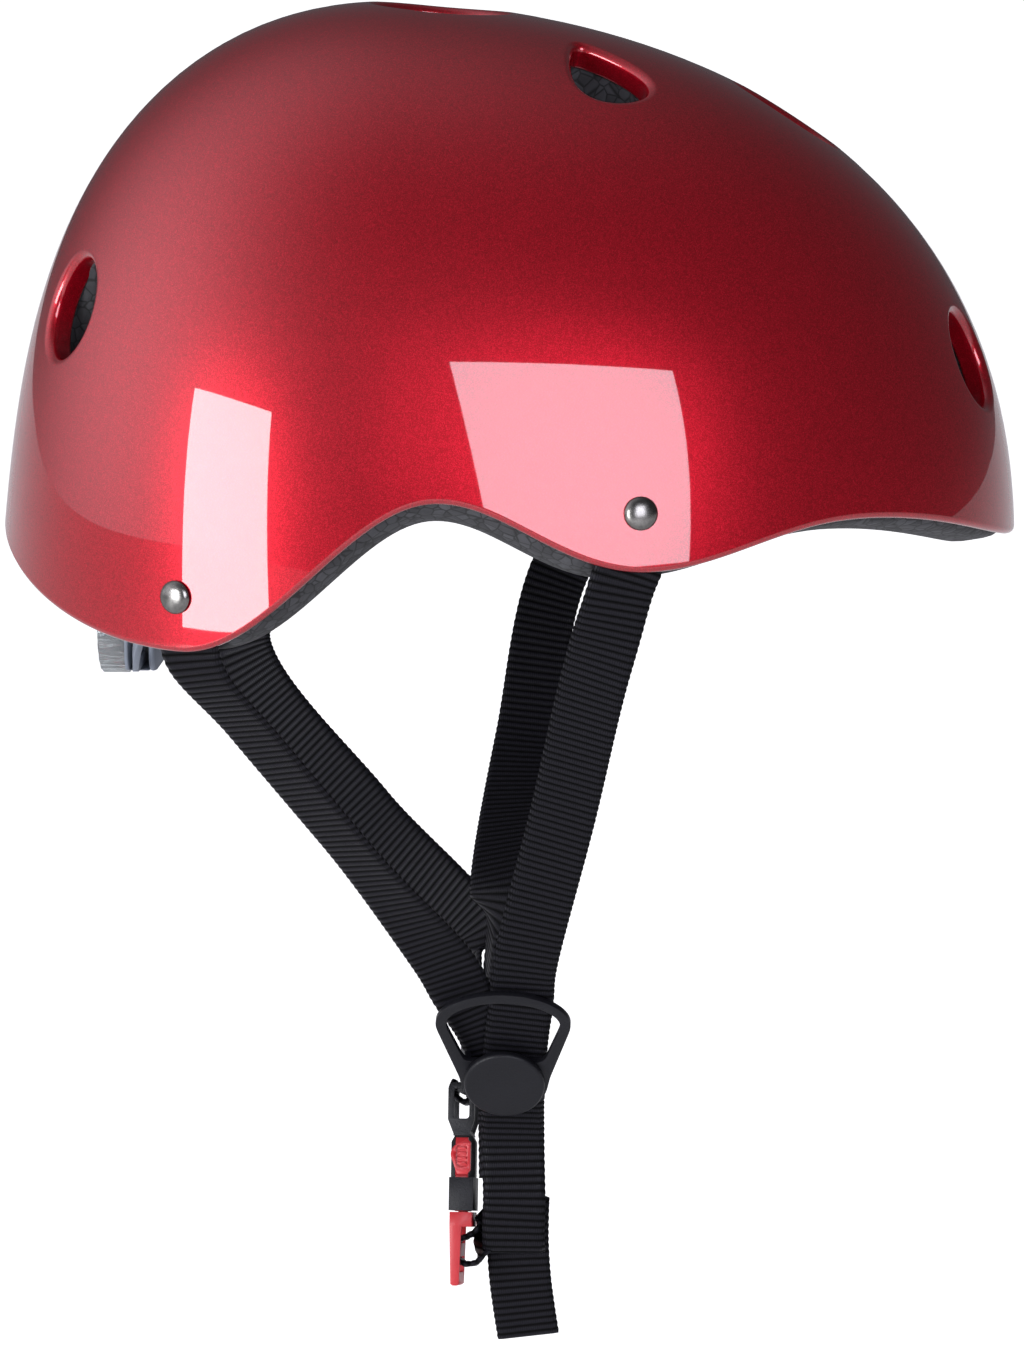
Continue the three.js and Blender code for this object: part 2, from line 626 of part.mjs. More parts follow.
function makeBuckle() {
  const half = BUCKLE_HALF_WIDTH;
  const thick = BUCKLE_HALF_THICK;
  const room = thick - BUCKLE_WALL;
  const ceiling = BODY_TOP - BUCKLE_WALL;
  const female = buckleBox(thick, -half, half, MOUTH, BODY_TOP)
    .add(buckleBox(thick - 1.8, -half, half, BODY_TOP - 0.1, BUCKLE_TOP))
    .subtract(buckleBox(thick, 2.6 - half, half - 2.6, BODY_TOP + 1.8, BUCKLE_TOP - 3))
    .subtract(buckleBox(room, SIDE_WALL - half, half - SIDE_WALL, MOUTH - 1, ceiling))
    .subtract(buckleBox(room, -half - 1, half + 1, MOUTH + WINDOW_RISE, ceiling));
  addPart('buckle_female', geometryFrom(female).applyMatrix4(BUCKLE_PLACE), BLACK_PLASTIC);

  const back = BUCKLE_X - thick + 0.3;
  const rail = (y0, y1, z0, z1) => solidOf(box(back, back + 3.2, y0, y1, z0, z1));
  const male = solidOf(box(back, BUCKLE_X + thick - 0.3, -half, half, MOUTH - 4.4, MOUTH - 0.4))
    .subtract(buckleBox(3.4, 7, 10.6, MOUTH - 1.6, MOUTH))
    .subtract(buckleBox(3.4, -10.6, -7, MOUTH - 1.6, MOUTH))
    .add(buckleBox(1.2, -2.8, 2.8, MOUTH - 1, MOUTH + 17))
    .add(rail(-half, half, MALE_END, MOUTH - 4.3))
    .subtract(rail(-half + 2.4, half - 2.4, -307.3, MOUTH - 4.5))
    .subtract(rail(-half + 2.4, half - 2.4, -315.2, -310.8));
  addPart('buckle_male', geometryFrom(male).applyMatrix4(BUCKLE_PLACE), RED_PLASTIC);

  for (const [name, side] of [['right', -1], ['left', 1]]) {
    const outline = ARM_OUTLINE.map(([y, down]) => [side * y, MOUTH - down]);
    const place = placeAt(vec(BUCKLE_X - ARM_THICK / 2, 0, 0), vec(0, 1, 0), UP, vec(1, 0, 0));
    const arm = prism(outline, place, 0, ARM_THICK);
    addPart(`buckle_arm_${name}`, arm.applyMatrix4(BUCKLE_PLACE), RED_PLASTIC);
  }
}

// ---------------------------------------------------------------- nape adjuster

const HOUSING = { halfWidth: 18, halfHeight: 10.4, back: -100.4, wall: 1.1, front: -94.2, cover: 1.6 };
const RACK = { reach: 10, near: 3.6, far: 8.6 };

function rackOutline(side) {
  const pitch = 2 * Math.PI * PITCH_RADIUS / TEETH;
  const root = RACK.near + 2.1;
  const outline = [[-19, root], [-19, RACK.far], [RACK.reach, RACK.far], [RACK.reach, root]];
  for (let tooth = 2.5; tooth >= -2.5; tooth--) {
    const y = tooth * pitch;
    outline.push([y + 0.7, root], [y + 0.35, RACK.near], [y - 0.35, RACK.near], [y - 0.7, root]);
  }
  return outline.map(([y, z]) => [-side * y, DIAL_Z + side * z]);
}

function makeBands() {
  for (const [name, side] of Object.entries(SIDES)) {
    const stop = (x, y, z, width) => ({ point: vec(x, side * y, z), across: UP, width });
    const level = DIAL_Z + side * (RACK.near + RACK.far + 2.1) / 2;
    const strip = ribbon([
      stop(BAND_PIN.x - 3.6, BAND_PIN.y - 0.6, BAND_PIN.z, 9),
      stop(-70, 65.5, -114.5, 9),
      stop(-84, 51, -122, 9),
      stop(-93.4, 34, -130, 5),
      stop(RACK_X, 22, level, 2.9),
      stop(RACK_X, 17, level, 2.9),
    ], BAND_THICK, 9, 16);
    const eye = turned([[2.35, -4.5], [4.4, -4.5], [4.4, 4.5], [2.35, 4.5], [2.35, -4.5]],
      new THREE.Matrix4().makeTranslation(BAND_PIN.x, side * BAND_PIN.y, BAND_PIN.z), 16);
    const place = placeAt(vec(RACK_X - BAND_THICK / 2, 0, 0), vec(0, 1, 0), UP, vec(1, 0, 0));
    const rack = prism(rackOutline(side), place, 0, BAND_THICK);
    const band = solidOf(strip).add(solidOf(eye)).add(solidOf(rack));
    addPart(`nape_band_${name}`, geometryFrom(band), GREY_PLASTIC);
  }
}

function makeBandAnchors() {
  for (const [name, side] of Object.entries(SIDES)) {
    const { x, y, z } = BAND_PIN;
    const out = (a) => side * (y + a);
    const slab = (x0, x1, a0, a1, z0, z1) => solidOf(box(x0, x1, Math.min(out(a0), out(a1)),
      Math.max(out(a0), out(a1)), z0, z1));
    const pin = turned([[0, -6], [2, -6], [2, 6], [0, 6]],
      new THREE.Matrix4().makeTranslation(x, side * y, z), 16);
    const bracket = slab(x - 7, x + 7, 4.9, 6.5, z - 7.2, z + 7.2)
      .add(slab(x - 3.2, x + 3.2, -3.2, 5, z + 5, z + 7.2))
      .add(slab(x - 3.2, x + 3.2, -3.2, 5, z - 7.2, z - 5))
      .add(solidOf(pin));
    addPart(`band_anchor_${name}`, geometryFrom(bracket), BLACK_PLASTIC);
  }
}

function makeDial() {
  const { halfWidth, halfHeight, back, wall, front, cover } = HOUSING;
  const along = placeAt(vec(0, 0, DIAL_Z), vec(0, 1, 0), UP, vec(1, 0, 0));
  const rounded = (width, height) => {
    const outline = [];
    for (let k = 0; k < 24; k++) {
      const angle = 2 * Math.PI * k / 24;
      const corner = (value) => Math.sign(value) * Math.abs(value) ** 0.35;
      outline.push([width * corner(Math.cos(angle)), height * corner(Math.sin(angle))]);
    }
    return outline;
  };
  const shaft = 3.2;
  const pocketWidth = halfWidth + 1;
  const housing = solidOf(prism(rounded(halfWidth, halfHeight), along, back, front))
    .subtract(solidOf(box(back + wall, front + 1, -pocketWidth, pocketWidth, DIAL_Z - 9.4, DIAL_Z + 9.4)))
    .subtract(solidOf(turned([[0, back - 1], [shaft, back - 1], [shaft, front], [0, front]], along, 16)));
  addPart('dial_housing', geometryFrom(housing), GREY_PLASTIC);
  const lid = prism(rounded(halfWidth, halfHeight), along, front + 0.3, front + 0.3 + cover);
  addPart('dial_cover', lid, GREY_PLASTIC);

  const outline = [];
  for (let k = 0; k < 72; k++) {
    const angle = 2 * Math.PI * k / 72;
    const radius = DIAL_RADIUS - 0.35 + 0.35 * Math.cos(18 * angle);
    outline.push([radius * Math.cos(angle), radius * Math.sin(angle)]);
  }
  const spindle = [[0, back - 2], [shaft - 0.4, back - 2], [shaft - 0.4, back + wall + 0.2],
    [1.9, back + wall + 0.2], [1.9, front - 0.3], [0, front - 0.3]];
  const knob = solidOf(prism(outline, along, back - 8, back - 0.4))
    .add(solidOf(turned(spindle, along, 16)));
  addPart('dial_knob', geometryFrom(knob), CLEAR_PLASTIC);

  const gear = [];
  for (let tooth = 0; tooth < TEETH; tooth++) {
    const middle = Math.PI / 2 + 2 * Math.PI * tooth / TEETH;
    for (const [turn, radius] of [[-0.17, 3.3], [-0.09, 5.3], [0.09, 5.3], [0.17, 3.3]]) {
      gear.push([radius * Math.cos(middle + turn), radius * Math.sin(middle + turn)]);
    }
  }
  const bore = turned([[0, back], [2.2, back], [2.2, front + 1], [0, front + 1]], along, 16);
  const pinion = solidOf(prism(gear, along, back + wall + 0.5, front - 0.4)).subtract(solidOf(bore));
  addPart('dial_pinion', geometryFrom(pinion), GREY_PLASTIC);
}

makeShell();
makeLiner();
makeRivets();
makePads();
makeUpperStraps();
makeLowerStraps();
makeStrapEnd();
makeDividers();
makeBuckle();
makeBands();
makeBandAnchors();
makeDial();

export default helmet;
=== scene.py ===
"""Looks of the multi-sport helmet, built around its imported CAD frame. Lengths are in millimetres until
the last step of each mesh, where MM turns them into metres. +X is the front, +Y the wearer's left."""

import math

import bmesh
import bpy
import numpy as np
from mathutils import Matrix, Vector
from mathutils.geometry import delaunay_2d_cdt


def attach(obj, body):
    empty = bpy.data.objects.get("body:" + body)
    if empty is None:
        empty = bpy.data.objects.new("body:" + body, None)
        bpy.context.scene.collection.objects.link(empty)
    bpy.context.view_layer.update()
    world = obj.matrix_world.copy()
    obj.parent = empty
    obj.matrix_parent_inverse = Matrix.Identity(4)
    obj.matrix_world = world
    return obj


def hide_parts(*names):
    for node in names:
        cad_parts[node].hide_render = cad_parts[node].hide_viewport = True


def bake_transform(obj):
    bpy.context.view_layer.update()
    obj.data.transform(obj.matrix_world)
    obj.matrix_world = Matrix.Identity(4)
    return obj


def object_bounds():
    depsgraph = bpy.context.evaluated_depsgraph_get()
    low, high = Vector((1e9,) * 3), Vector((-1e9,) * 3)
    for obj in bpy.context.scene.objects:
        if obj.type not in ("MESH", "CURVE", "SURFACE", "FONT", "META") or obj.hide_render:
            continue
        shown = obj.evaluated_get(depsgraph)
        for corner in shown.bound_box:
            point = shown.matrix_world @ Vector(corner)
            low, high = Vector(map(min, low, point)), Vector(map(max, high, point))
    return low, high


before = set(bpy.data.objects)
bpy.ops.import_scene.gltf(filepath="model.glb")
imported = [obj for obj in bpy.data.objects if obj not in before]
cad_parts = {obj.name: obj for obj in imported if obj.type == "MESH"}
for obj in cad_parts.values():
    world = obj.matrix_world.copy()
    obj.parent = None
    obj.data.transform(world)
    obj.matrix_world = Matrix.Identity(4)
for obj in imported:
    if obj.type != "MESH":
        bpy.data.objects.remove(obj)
cad_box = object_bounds()

MM = 0.001
# How many flakes, and how many foam beads, lie along a metre.
FLAKES = 4600
FOAM_CELLS = 330
# The webbing's rib spacing and the width of one yarn.
RIB_PITCH = 2.0
YARN = 0.62
SIDES = {"right": -1, "left": 1}

# ---------------------------------------------------------------- the camera and the light

CAMERA_PLACE = (0.063, -1.188, 0.084)
CAMERA_AIM = (0.0021, 0, -0.148)
FOCAL_LENGTH = 119.9
FLOOR_DROP = 0.16
# The paper's glow on the pieces, and as the camera sees it.
PAPER_GLOW = (0.22, 0.8)
# The room's even light, and its broad glows: where each lies, how narrow it is and how bright.
ROOM_COLOUR = (0.93, 0.92, 1.0)
ROOM_LIGHT = 0.09
ROOM_GLOWS = [((-0.15, -0.88, 0.42), 10, 0.14), ((-1.0, -0.25, 0.25), 4, 1.3), ((-0.35, 0.1, 0.93), 7, 0.5)]
# Soft panels: azimuth from the camera's side, elevation, distance, size, watts and colour.
PANELS = {
    "front_window": (19, 15.5, 2.0, (0.92, 1.0), 22.5, (0.88, 0.89, 1.0)),
    "rear_window": (-42, 4, 2.0, (0.88, 1.0), 34, (0.95, 0.97, 1.0)),
    "floor_wash": (0, -50, 2.4, (1.5, 1.0), 5, (1, 1, 1)),
}


def show(name, data):
    """A new object, linked into the scene."""
    made = bpy.data.objects.new(name, data)
    bpy.context.scene.collection.objects.link(made)
    return made


def make_camera():
    camera = show("camera", bpy.data.cameras.new("camera"))
    camera.location = CAMERA_PLACE
    look = Vector(CAMERA_AIM) - Vector(CAMERA_PLACE)
    camera.rotation_euler = look.to_track_quat("-Z", "Y").to_euler()
    camera.data.lens = FOCAL_LENGTH
    camera.data.sensor_width = 36
    bpy.context.scene.camera = camera


def make_light(name, azimuth, elevation, far, size, watts, colour):
    """A soft panel at a direction from the helmet's side: azimuth 0 is the camera's side."""
    turn, rise = math.radians(azimuth), math.radians(elevation)
    way = Vector((math.sin(turn) * math.cos(rise), -math.cos(turn) * math.cos(rise), math.sin(rise)))
    light = bpy.data.lights.new(name, "AREA")
    light.shape = "RECTANGLE"
    light.size, light.size_y = size
    light.energy = watts
    light.color = colour
    holder = show(name, light)
    holder.location = Vector((0, -0.08, -0.08)) + way * far
    holder.rotation_euler = (-way).to_track_quat("-Z", "Y").to_euler()


def make_world():
    """A dim room with a broad soft glow to the front left, and plain white where the camera looks past."""
    world = bpy.data.worlds.new("studio")
    world.use_nodes = True
    nodes, links = world.node_tree.nodes, world.node_tree.links
    room = nodes["Background"]
    room.inputs["Color"].default_value = (*ROOM_COLOUR, 1)
    place = nodes.new("ShaderNodeTexCoord")
    total = None
    for way, sharpness, strength in ROOM_GLOWS:
        towards = nodes.new("ShaderNodeVectorMath")
        towards.operation = "DOT_PRODUCT"
        towards.inputs[1].default_value = way
        links.new(place.outputs["Generated"], towards.inputs[0])
        lobe = nodes.new("ShaderNodeMath")
        lobe.operation = "MAXIMUM"
        lobe.inputs[1].default_value = 0
        links.new(towards.outputs["Value"], lobe.inputs[0])
        focus = nodes.new("ShaderNodeMath")
        focus.operation = "POWER"
        focus.inputs[1].default_value = sharpness
        links.new(lobe.outputs[0], focus.inputs[0])
        gain = nodes.new("ShaderNodeMath")
        gain.operation = "MULTIPLY_ADD"
        gain.inputs[1].default_value = strength
        links.new(focus.outputs[0], gain.inputs[0])
        if total is None:
            gain.inputs[2].default_value = ROOM_LIGHT
        else:
            links.new(total, gain.inputs[2])
        total = gain.outputs[0]
    links.new(total, room.inputs["Strength"])
    backdrop = nodes.new("ShaderNodeBackground")
    backdrop.inputs["Color"].default_value = (1, 1, 1, 1)
    backdrop.inputs["Strength"].default_value = 1.0
    rays = nodes.new("ShaderNodeLightPath")
    choose = nodes.new("ShaderNodeMixShader")
    links.new(rays.outputs["Is Camera Ray"], choose.inputs["Fac"])
    links.new(room.outputs[0], choose.inputs[1])
    links.new(backdrop.outputs[0], choose.inputs[2])
    links.new(choose.outputs[0], nodes["World Output"].inputs["Surface"])
    bpy.context.scene.world = world


def make_studio():
    for name, panel in PANELS.items():
        make_light(name, *panel)
    make_world()
    bpy.context.scene.view_settings.view_transform = "Standard"
    low = min(corner[2] for corner in cad_box)
    mesh = bpy.data.meshes.new("floor")
    reach = 12
    corners = [(-reach, -reach, 0), (reach, -reach, 0), (reach, reach, 0), (-reach, reach, 0)]
    mesh.from_pydata(corners, [], [(0, 1, 2, 3)])
    floor = bpy.data.objects.new("floor", mesh)
    floor.location.z = low - FLOOR_DROP
    bpy.context.scene.collection.objects.link(floor)
    floor.data.materials.append(paper_material())


# ---------------------------------------------------------------- materials


class Shader:
    """A Principled material with short ways to add and join nodes."""

    def __init__(self, name):
        self.material = bpy.data.materials.new(name)
        self.material.use_nodes = True
        self.nodes = self.material.node_tree.nodes
        self.links = self.material.node_tree.links
        self.principled = self.nodes["Principled BSDF"]

    def set(self, **values):
        for socket, value in values.items():
            self.principled.inputs[socket.replace("_", " ")].default_value = value

    def add(self, kind, **values):
        node = self.nodes.new(kind)
        for key, value in values.items():
            if key in node.inputs:
                node.inputs[key].default_value = value
            else:
                setattr(node, key, value)
        return node

    def join(self, out, into):
        self.links.new(out, into)

    def place(self):
        return self.add("ShaderNodeTexCoord").outputs["Object"]

    def noise(self, scale, detail=3, roughness=0.5):
        node = self.add("ShaderNodeTexNoise", Scale=scale, Detail=detail, Roughness=roughness)
        self.join(self.place(), node.inputs["Vector"])
        return node.outputs["Fac"]

    def cells(self, scale, output="Distance", feature="F1"):
        node = self.add("ShaderNodeTexVoronoi", Scale=scale, feature=feature)
        self.join(self.place(), node.inputs["Vector"])
        return node.outputs[output]

    def ramp(self, value, stops):
        node = self.add("ShaderNodeValToRGB")
        elements = node.color_ramp.elements
        while len(elements) < len(stops):
            elements.new(0.5)
        for element, (at, colour) in zip(elements, stops):
            element.position = at
            element.color = (*colour, 1)
        self.join(value, node.inputs["Fac"])
        return node.outputs["Color"]

    def spread(self, value, low, high):
        node = self.add("ShaderNodeMapRange")
        node.inputs["To Min"].default_value = low
        node.inputs["To Max"].default_value = high
        self.join(value, node.inputs["Value"])
        return node.outputs["Result"]

    def sum(self, first, second, weight):
        node = self.add("ShaderNodeMath", operation="MULTIPLY_ADD")
        self.join(second, node.inputs[0])
        node.inputs[1].default_value = weight
        self.join(first, node.inputs[2])
        return node.outputs[0]

    def math(self, operation, first, second=None):
        node = self.add("ShaderNodeMath", operation=operation)
        self.join(first, node.inputs[0])
        if isinstance(second, float):
            node.inputs[1].default_value = second
        elif second is not None:
            self.join(second, node.inputs[1])
        return node.outputs[0]

    def bump(self, height, distance_mm, strength=1.0):
        node = self.add("ShaderNodeBump", Strength=strength, Distance=distance_mm * MM)
        self.join(height, node.inputs["Height"])
        self.join(node.outputs["Normal"], self.principled.inputs["Normal"])

    def feed(self, socket, value):
        self.join(value, self.principled.inputs[socket])


def paper_material():
    """White backdrop paper, lit through from below."""
    shader = Shader("floor_paper")
    seen = shader.add("ShaderNodeLightPath").outputs["Is Camera Ray"]
    shader.feed("Emission Strength", shader.spread(seen, *PAPER_GLOW))
    shader.set(Base_Color=(0.9, 0.9, 0.9, 1), Roughness=0.9, Emission_Color=(1, 1, 1, 1))
    return shader.material


def shell_material():
    """Candy red: fine metal flakes in a red base under a smooth clear coat."""
    shader = Shader("shell_red")
    speck = shader.cells(FLAKES, "Color")
    shader.feed("Base Color", shader.ramp(speck, [(0.0, (0.19, 0.001, 0.005)),
                                                  (0.55, (0.31, 0.0015, 0.009)),
                                                  (1.0, (0.50, 0.006, 0.02))]))
    shader.feed("Roughness", shader.spread(shader.noise(90), 0.30, 0.38))
    shader.bump(shader.cells(FLAKES), 0.05, 0.08)
    shader.set(Metallic=0.6, Specular_IOR_Level=0.1, Coat_Weight=1.0, Coat_Roughness=0.02, Coat_IOR=1.6)
    return shader.material


def foam_material():
    """Expanded bead foam: pressed round cells, each a slightly different grey, with painted shade darkening
    the gaps between them.
    """
    shader = Shader("liner_foam")
    cells = shader.cells(FOAM_CELLS, "Distance", "DISTANCE_TO_EDGE")
    tone = shader.ramp(shader.cells(FOAM_CELLS, "Color"), [(0.0, (0.016, 0.016, 0.018)),
                                                           (1.0, (0.050, 0.050, 0.056))])
    # Painted shade: the colour falls to near black at each cell's edge, in the gaps between the beads.
    bead_gap_shade = shader.ramp(cells, [(0.0, (0.008, 0.008, 0.009)), (0.09, (1, 1, 1))])
    mixed = shader.add("ShaderNodeMix", data_type="RGBA", blend_type="MULTIPLY")
    mixed.inputs[0].default_value = 1
    shader.join(tone, mixed.inputs[6])
    shader.join(bead_gap_shade, mixed.inputs[7])
    shader.feed("Base Color", mixed.outputs[2])
    shader.bump(shader.spread(cells, 0, 1), 0.6, 0.7)
    shader.set(Roughness=0.72)
    return shader.material


def felt_material():
    """Brushed pad cloth: short matted fibres with a soft sheen."""
    shader = Shader("pad_felt")
    fibres = shader.sum(shader.noise(900, 6, 0.7), shader.noise(240, 3), 0.6)
    shader.feed("Base Color", shader.ramp(fibres, [(0.35, (0.006, 0.006, 0.007)),
                                                   (0.95, (0.05, 0.05, 0.055))]))
    shader.bump(fibres, 0.7, 0.8)
    shader.set(Roughness=0.95, Sheen_Weight=0.5, Sheen_Roughness=0.6)
    return shader.material


def webbing_material():
    """Black ribbed nylon: on each rib the yarns lie side by side along the webbing; its colour is painted
    lighter on the rib crests and darker in the grooves and yarn gaps, a painted highlight and painted
    shade.
    """
    shader = Shader("webbing")
    weave = shader.add("ShaderNodeUVMap", uv_map="weave")
    yarns = shader.add("ShaderNodeTexBrick", offset=0.5)
    for socket, value in (("Scale", 1.0), ("Brick Width", YARN), ("Row Height", RIB_PITCH),
                          ("Mortar Size", 0.09), ("Mortar Smooth", 1.0)):
        yarns.inputs[socket].default_value = value
    shader.join(weave.outputs["UV"], yarns.inputs["Vector"])
    solid = shader.spread(yarns.outputs["Fac"], 1, 0)
    fuzz = shader.noise(1400, 4, 0.6)
    height = shader.sum(solid, fuzz, 0.45)
    along = shader.add("ShaderNodeSeparateXYZ")
    shader.join(weave.outputs["UV"], along.inputs[0])
    turns = shader.math("MULTIPLY", along.outputs["Y"], math.pi / RIB_PITCH)
    crest = shader.math("ABSOLUTE", shader.math("SINE", turns))
    lit = shader.math("MULTIPLY", crest, height)
    # Base colour: painted highlight on the rib crests, painted shade in the grooves and in the gaps between
    # yarns.
    shader.feed("Base Color", shader.ramp(lit, [(0.2, (0.0006, 0.0006, 0.0008)),
                                                (0.75, (0.0035, 0.0032, 0.0045)),
                                                (1.0, (0.011, 0.0105, 0.014))]))
    shader.feed("Roughness", shader.spread(lit, 0.85, 0.36))
    shader.bump(height, 0.2, 1.0)
    shader.set(Specular_IOR_Level=0.09)
    return shader.material


def plastic_material(name, colour, roughness, grain=0.12, grain_scale=1400, tint=0.15, gloss=0.5):
    """Moulded plastic: a fine etched grain, faint flow marks and uneven gloss."""
    shader = Shader(name)
    flow = shader.noise(60, 4, 0.6)
    dark = tuple(c * (1 - tint) for c in colour)
    light = tuple(min(1, c * (1 + tint)) for c in colour)
    shader.feed("Base Color", shader.ramp(flow, [(0.3, dark), (0.7, light)]))
    shader.feed("Roughness", shader.spread(shader.noise(260, 4), roughness - 0.07, roughness + 0.09))
    shader.bump(shader.noise(grain_scale, 3, 0.6), grain, 0.5)
    shader.set(Specular_IOR_Level=gloss)
    return shader.material


def clear_material():
    """Clear polycarbonate with a slightly milky, finely scuffed surface."""
    shader = Shader("dial_clear")
    shader.set(Base_Color=(0.90, 0.95, 0.96, 1), Transmission_Weight=0.92, IOR=1.5)
    shader.feed("Roughness", shader.spread(shader.noise(500, 4, 0.6), 0.04, 0.2))
    shader.bump(shader.noise(160, 3), 0.15, 0.3)
    return shader.material


def steel_material():
    """Dark plated steel, polished by tumbling, with faint rubbed rings."""
    shader = Shader("rivet_steel")
    wear = shader.noise(420, 6, 0.65)
    shader.feed("Base Color", shader.ramp(wear, [(0.3, (0.12, 0.115, 0.11)), (0.75, (0.27, 0.26, 0.245))]))
    shader.feed("Roughness", shader.spread(wear, 0.14, 0.34))
    shader.bump(shader.noise(1200, 4, 0.7), 0.05, 0.35)
    shader.set(Metallic=1.0)
    return shader.material


# ---------------------------------------------------------------- mesh helpers


def make_piece(name, points, faces, material, body, nodes, normals=None, uvs=None):
    """A mesh from points in millimetres, riding on a CAD body and standing for CAD nodes."""
    mesh = bpy.data.meshes.new(name)
    mesh.from_pydata([tuple(c * MM for c in p) for p in points], [], faces)
    mesh.polygons.foreach_set("use_smooth", [True] * len(mesh.polygons))
    if uvs is not None:
        layer = mesh.uv_layers.new(name="weave")
        for loop in mesh.loops:
            layer.data[loop.index].uv = uvs[loop.vertex_index]
    if normals is not None:
        mesh.normals_split_custom_set_from_vertices([tuple(n) for n in normals])
    mesh.materials.append(material)
    piece = show(name, mesh)
    finish_piece(piece, body, nodes)
    return piece


def finish_piece(piece, body, nodes):
    if body:
        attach(piece, body)
    if nodes:
        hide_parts(*nodes)


def unit(vectors):
    return vectors / np.linalg.norm(vectors, axis=-1, keepdims=True)


# ---------------------------------------------------------------- the shell's surface

CENTRE = np.array([-20.0, 0, -132])
FRONT_REACH, REAR_REACH, HALF_WIDTH, CROWN_HEIGHT = 155, 115, 105, 163.2
ROUNDNESS = 2.2
FULLNESS = (-0.075, 0.052, 0.148)
EDGE_TURNS = [(0, -107), (34, -93), (58, -103), (85, -85.6), (121, -124.5), (180, -103)]
SHELL_WALL, FIT_GAP, LINER_CROWN, LINER_RIM, RIM_DROP = 3, 0.8, 17.5, 13, 0.2
VENTS = {
    "crown": dict(theta=0, phi=1.2, across=15.5, along=18, taper=0),
    "front_top": dict(theta=0, phi=35, across=10.5, along=15.5, taper=0.15),
    "side_top": dict(theta=36, phi=21.5, across=9, along=13.5, taper=0.5, pair=True),
    "front": dict(theta=9.5, phi=63, across=11.5, along=13, taper=0, pair=True),
    "rear": dict(theta=150, phi=49, across=12, along=13.5, taper=0, pair=True),
}
RIVETS = {"front": (58.5, 68.8), "rear": (121, 79)}


def directions(theta, phi):
    theta, phi = np.broadcast_arrays(theta, phi)
    return np.stack([np.sin(phi) * np.cos(theta), np.sin(phi) * np.sin(theta), np.cos(phi)], -1)


def shell_radius(d):
    reach = np.where(d[..., 0] > 0, FRONT_REACH, REAR_REACH)
    total = (np.abs(d[..., 0] / reach) ** ROUNDNESS + np.abs(d[..., 1] / HALF_WIDTH) ** ROUNDNESS
             + np.abs(d[..., 2] / CROWN_HEIGHT) ** ROUNDNESS)
    lift, spread, nose = FULLNESS
    x, z = d[..., 0], d[..., 2]
    return total ** (-1 / ROUNDNESS) * (1 + z * (lift * x + spread * x ** 2 * z + nose * x ** 3))


def surface_along(d, inset=0.0):
    return CENTRE + d * (shell_radius(d) - inset)[..., None]


def surface_normal(d):
    """Outward normal of the shell where direction d from its centre meets it."""
    side = unit(np.cross(d, np.array([0.3, 0.9, 0.31])))
    other = np.cross(d, side)
    step = 0.003
    first = surface_along(unit(d + side * step)) - surface_along(unit(d - side * step))
    second = surface_along(unit(d + other * step)) - surface_along(unit(d - other * step))
    n = unit(np.cross(first, second))
    return n * np.sign(np.sum(n * d, -1, keepdims=True))


def shell_frame(theta, phi):
    """Where a direction meets the shell, and the axes there: across, up the slope and out."""
    d = directions(math.radians(theta), math.radians(phi))
    n = surface_normal(d)
    u = unit(np.cross([0, 0, 1], n))
    return surface_along(d), u, np.cross(n, u), n


def edge_height(theta):
    turn = np.degrees(np.abs(np.arctan2(np.sin(theta), np.cos(theta))))
    ends, heights = np.array(EDGE_TURNS, float).T
    at = np.clip(np.searchsorted(ends, turn, "left"), 1, len(ends) - 1)
    share = (turn - ends[at - 1]) / (ends[at] - ends[at - 1])
    share = 0.5 - 0.5 * np.cos(np.pi * share)
    return heights[at - 1] + (heights[at] - heights[at - 1]) * share


def phi_at_height(theta, height):
    low, high = np.full(np.shape(theta), 0.2), np.full(np.shape(theta), 2.2)
    for _ in range(36):
        middle = (low + high) / 2
        above = surface_along(directions(theta, middle))[..., 2] > height
        low, high = np.where(above, middle, low), np.where(above, high, middle)
    return low


def hole_list():
    """Every opening in the shell: its axes and outline function."""
    holes = []
    for name, vent in VENTS.items():
        for side in ((-1, 1) if vent.get("pair") else (1,)):
            holes.append(dict(axes=shell_frame(side * vent["theta"], vent["phi"]), across=vent["across"],
                              along=vent["along"], taper=vent["taper"], vent=True, points=64))
    for theta, phi in RIVETS.values():
        for side in SIDES.values():
            holes.append(dict(axes=shell_frame(side * theta, phi), across=2.6, along=2.6, taper=0,
                              vent=False, points=20))
    return holes


def hole_outline(hole):
    """The outline's points in the hole's own plane, and the way out of the hole at each."""
    t = np.arange(hole["points"]) * 2 * np.pi / hole["points"]
    across = hole["across"] * np.cos(t) * (1 - hole["taper"] * np.sin(t))
    flat = np.stack([across, hole["along"] * np.sin(t)], -1)
    tangent = np.roll(flat, -1, 0) - np.roll(flat, 1, 0)
    out = unit(np.stack([tangent[:, 1], -tangent[:, 0]], -1))
    return flat, out


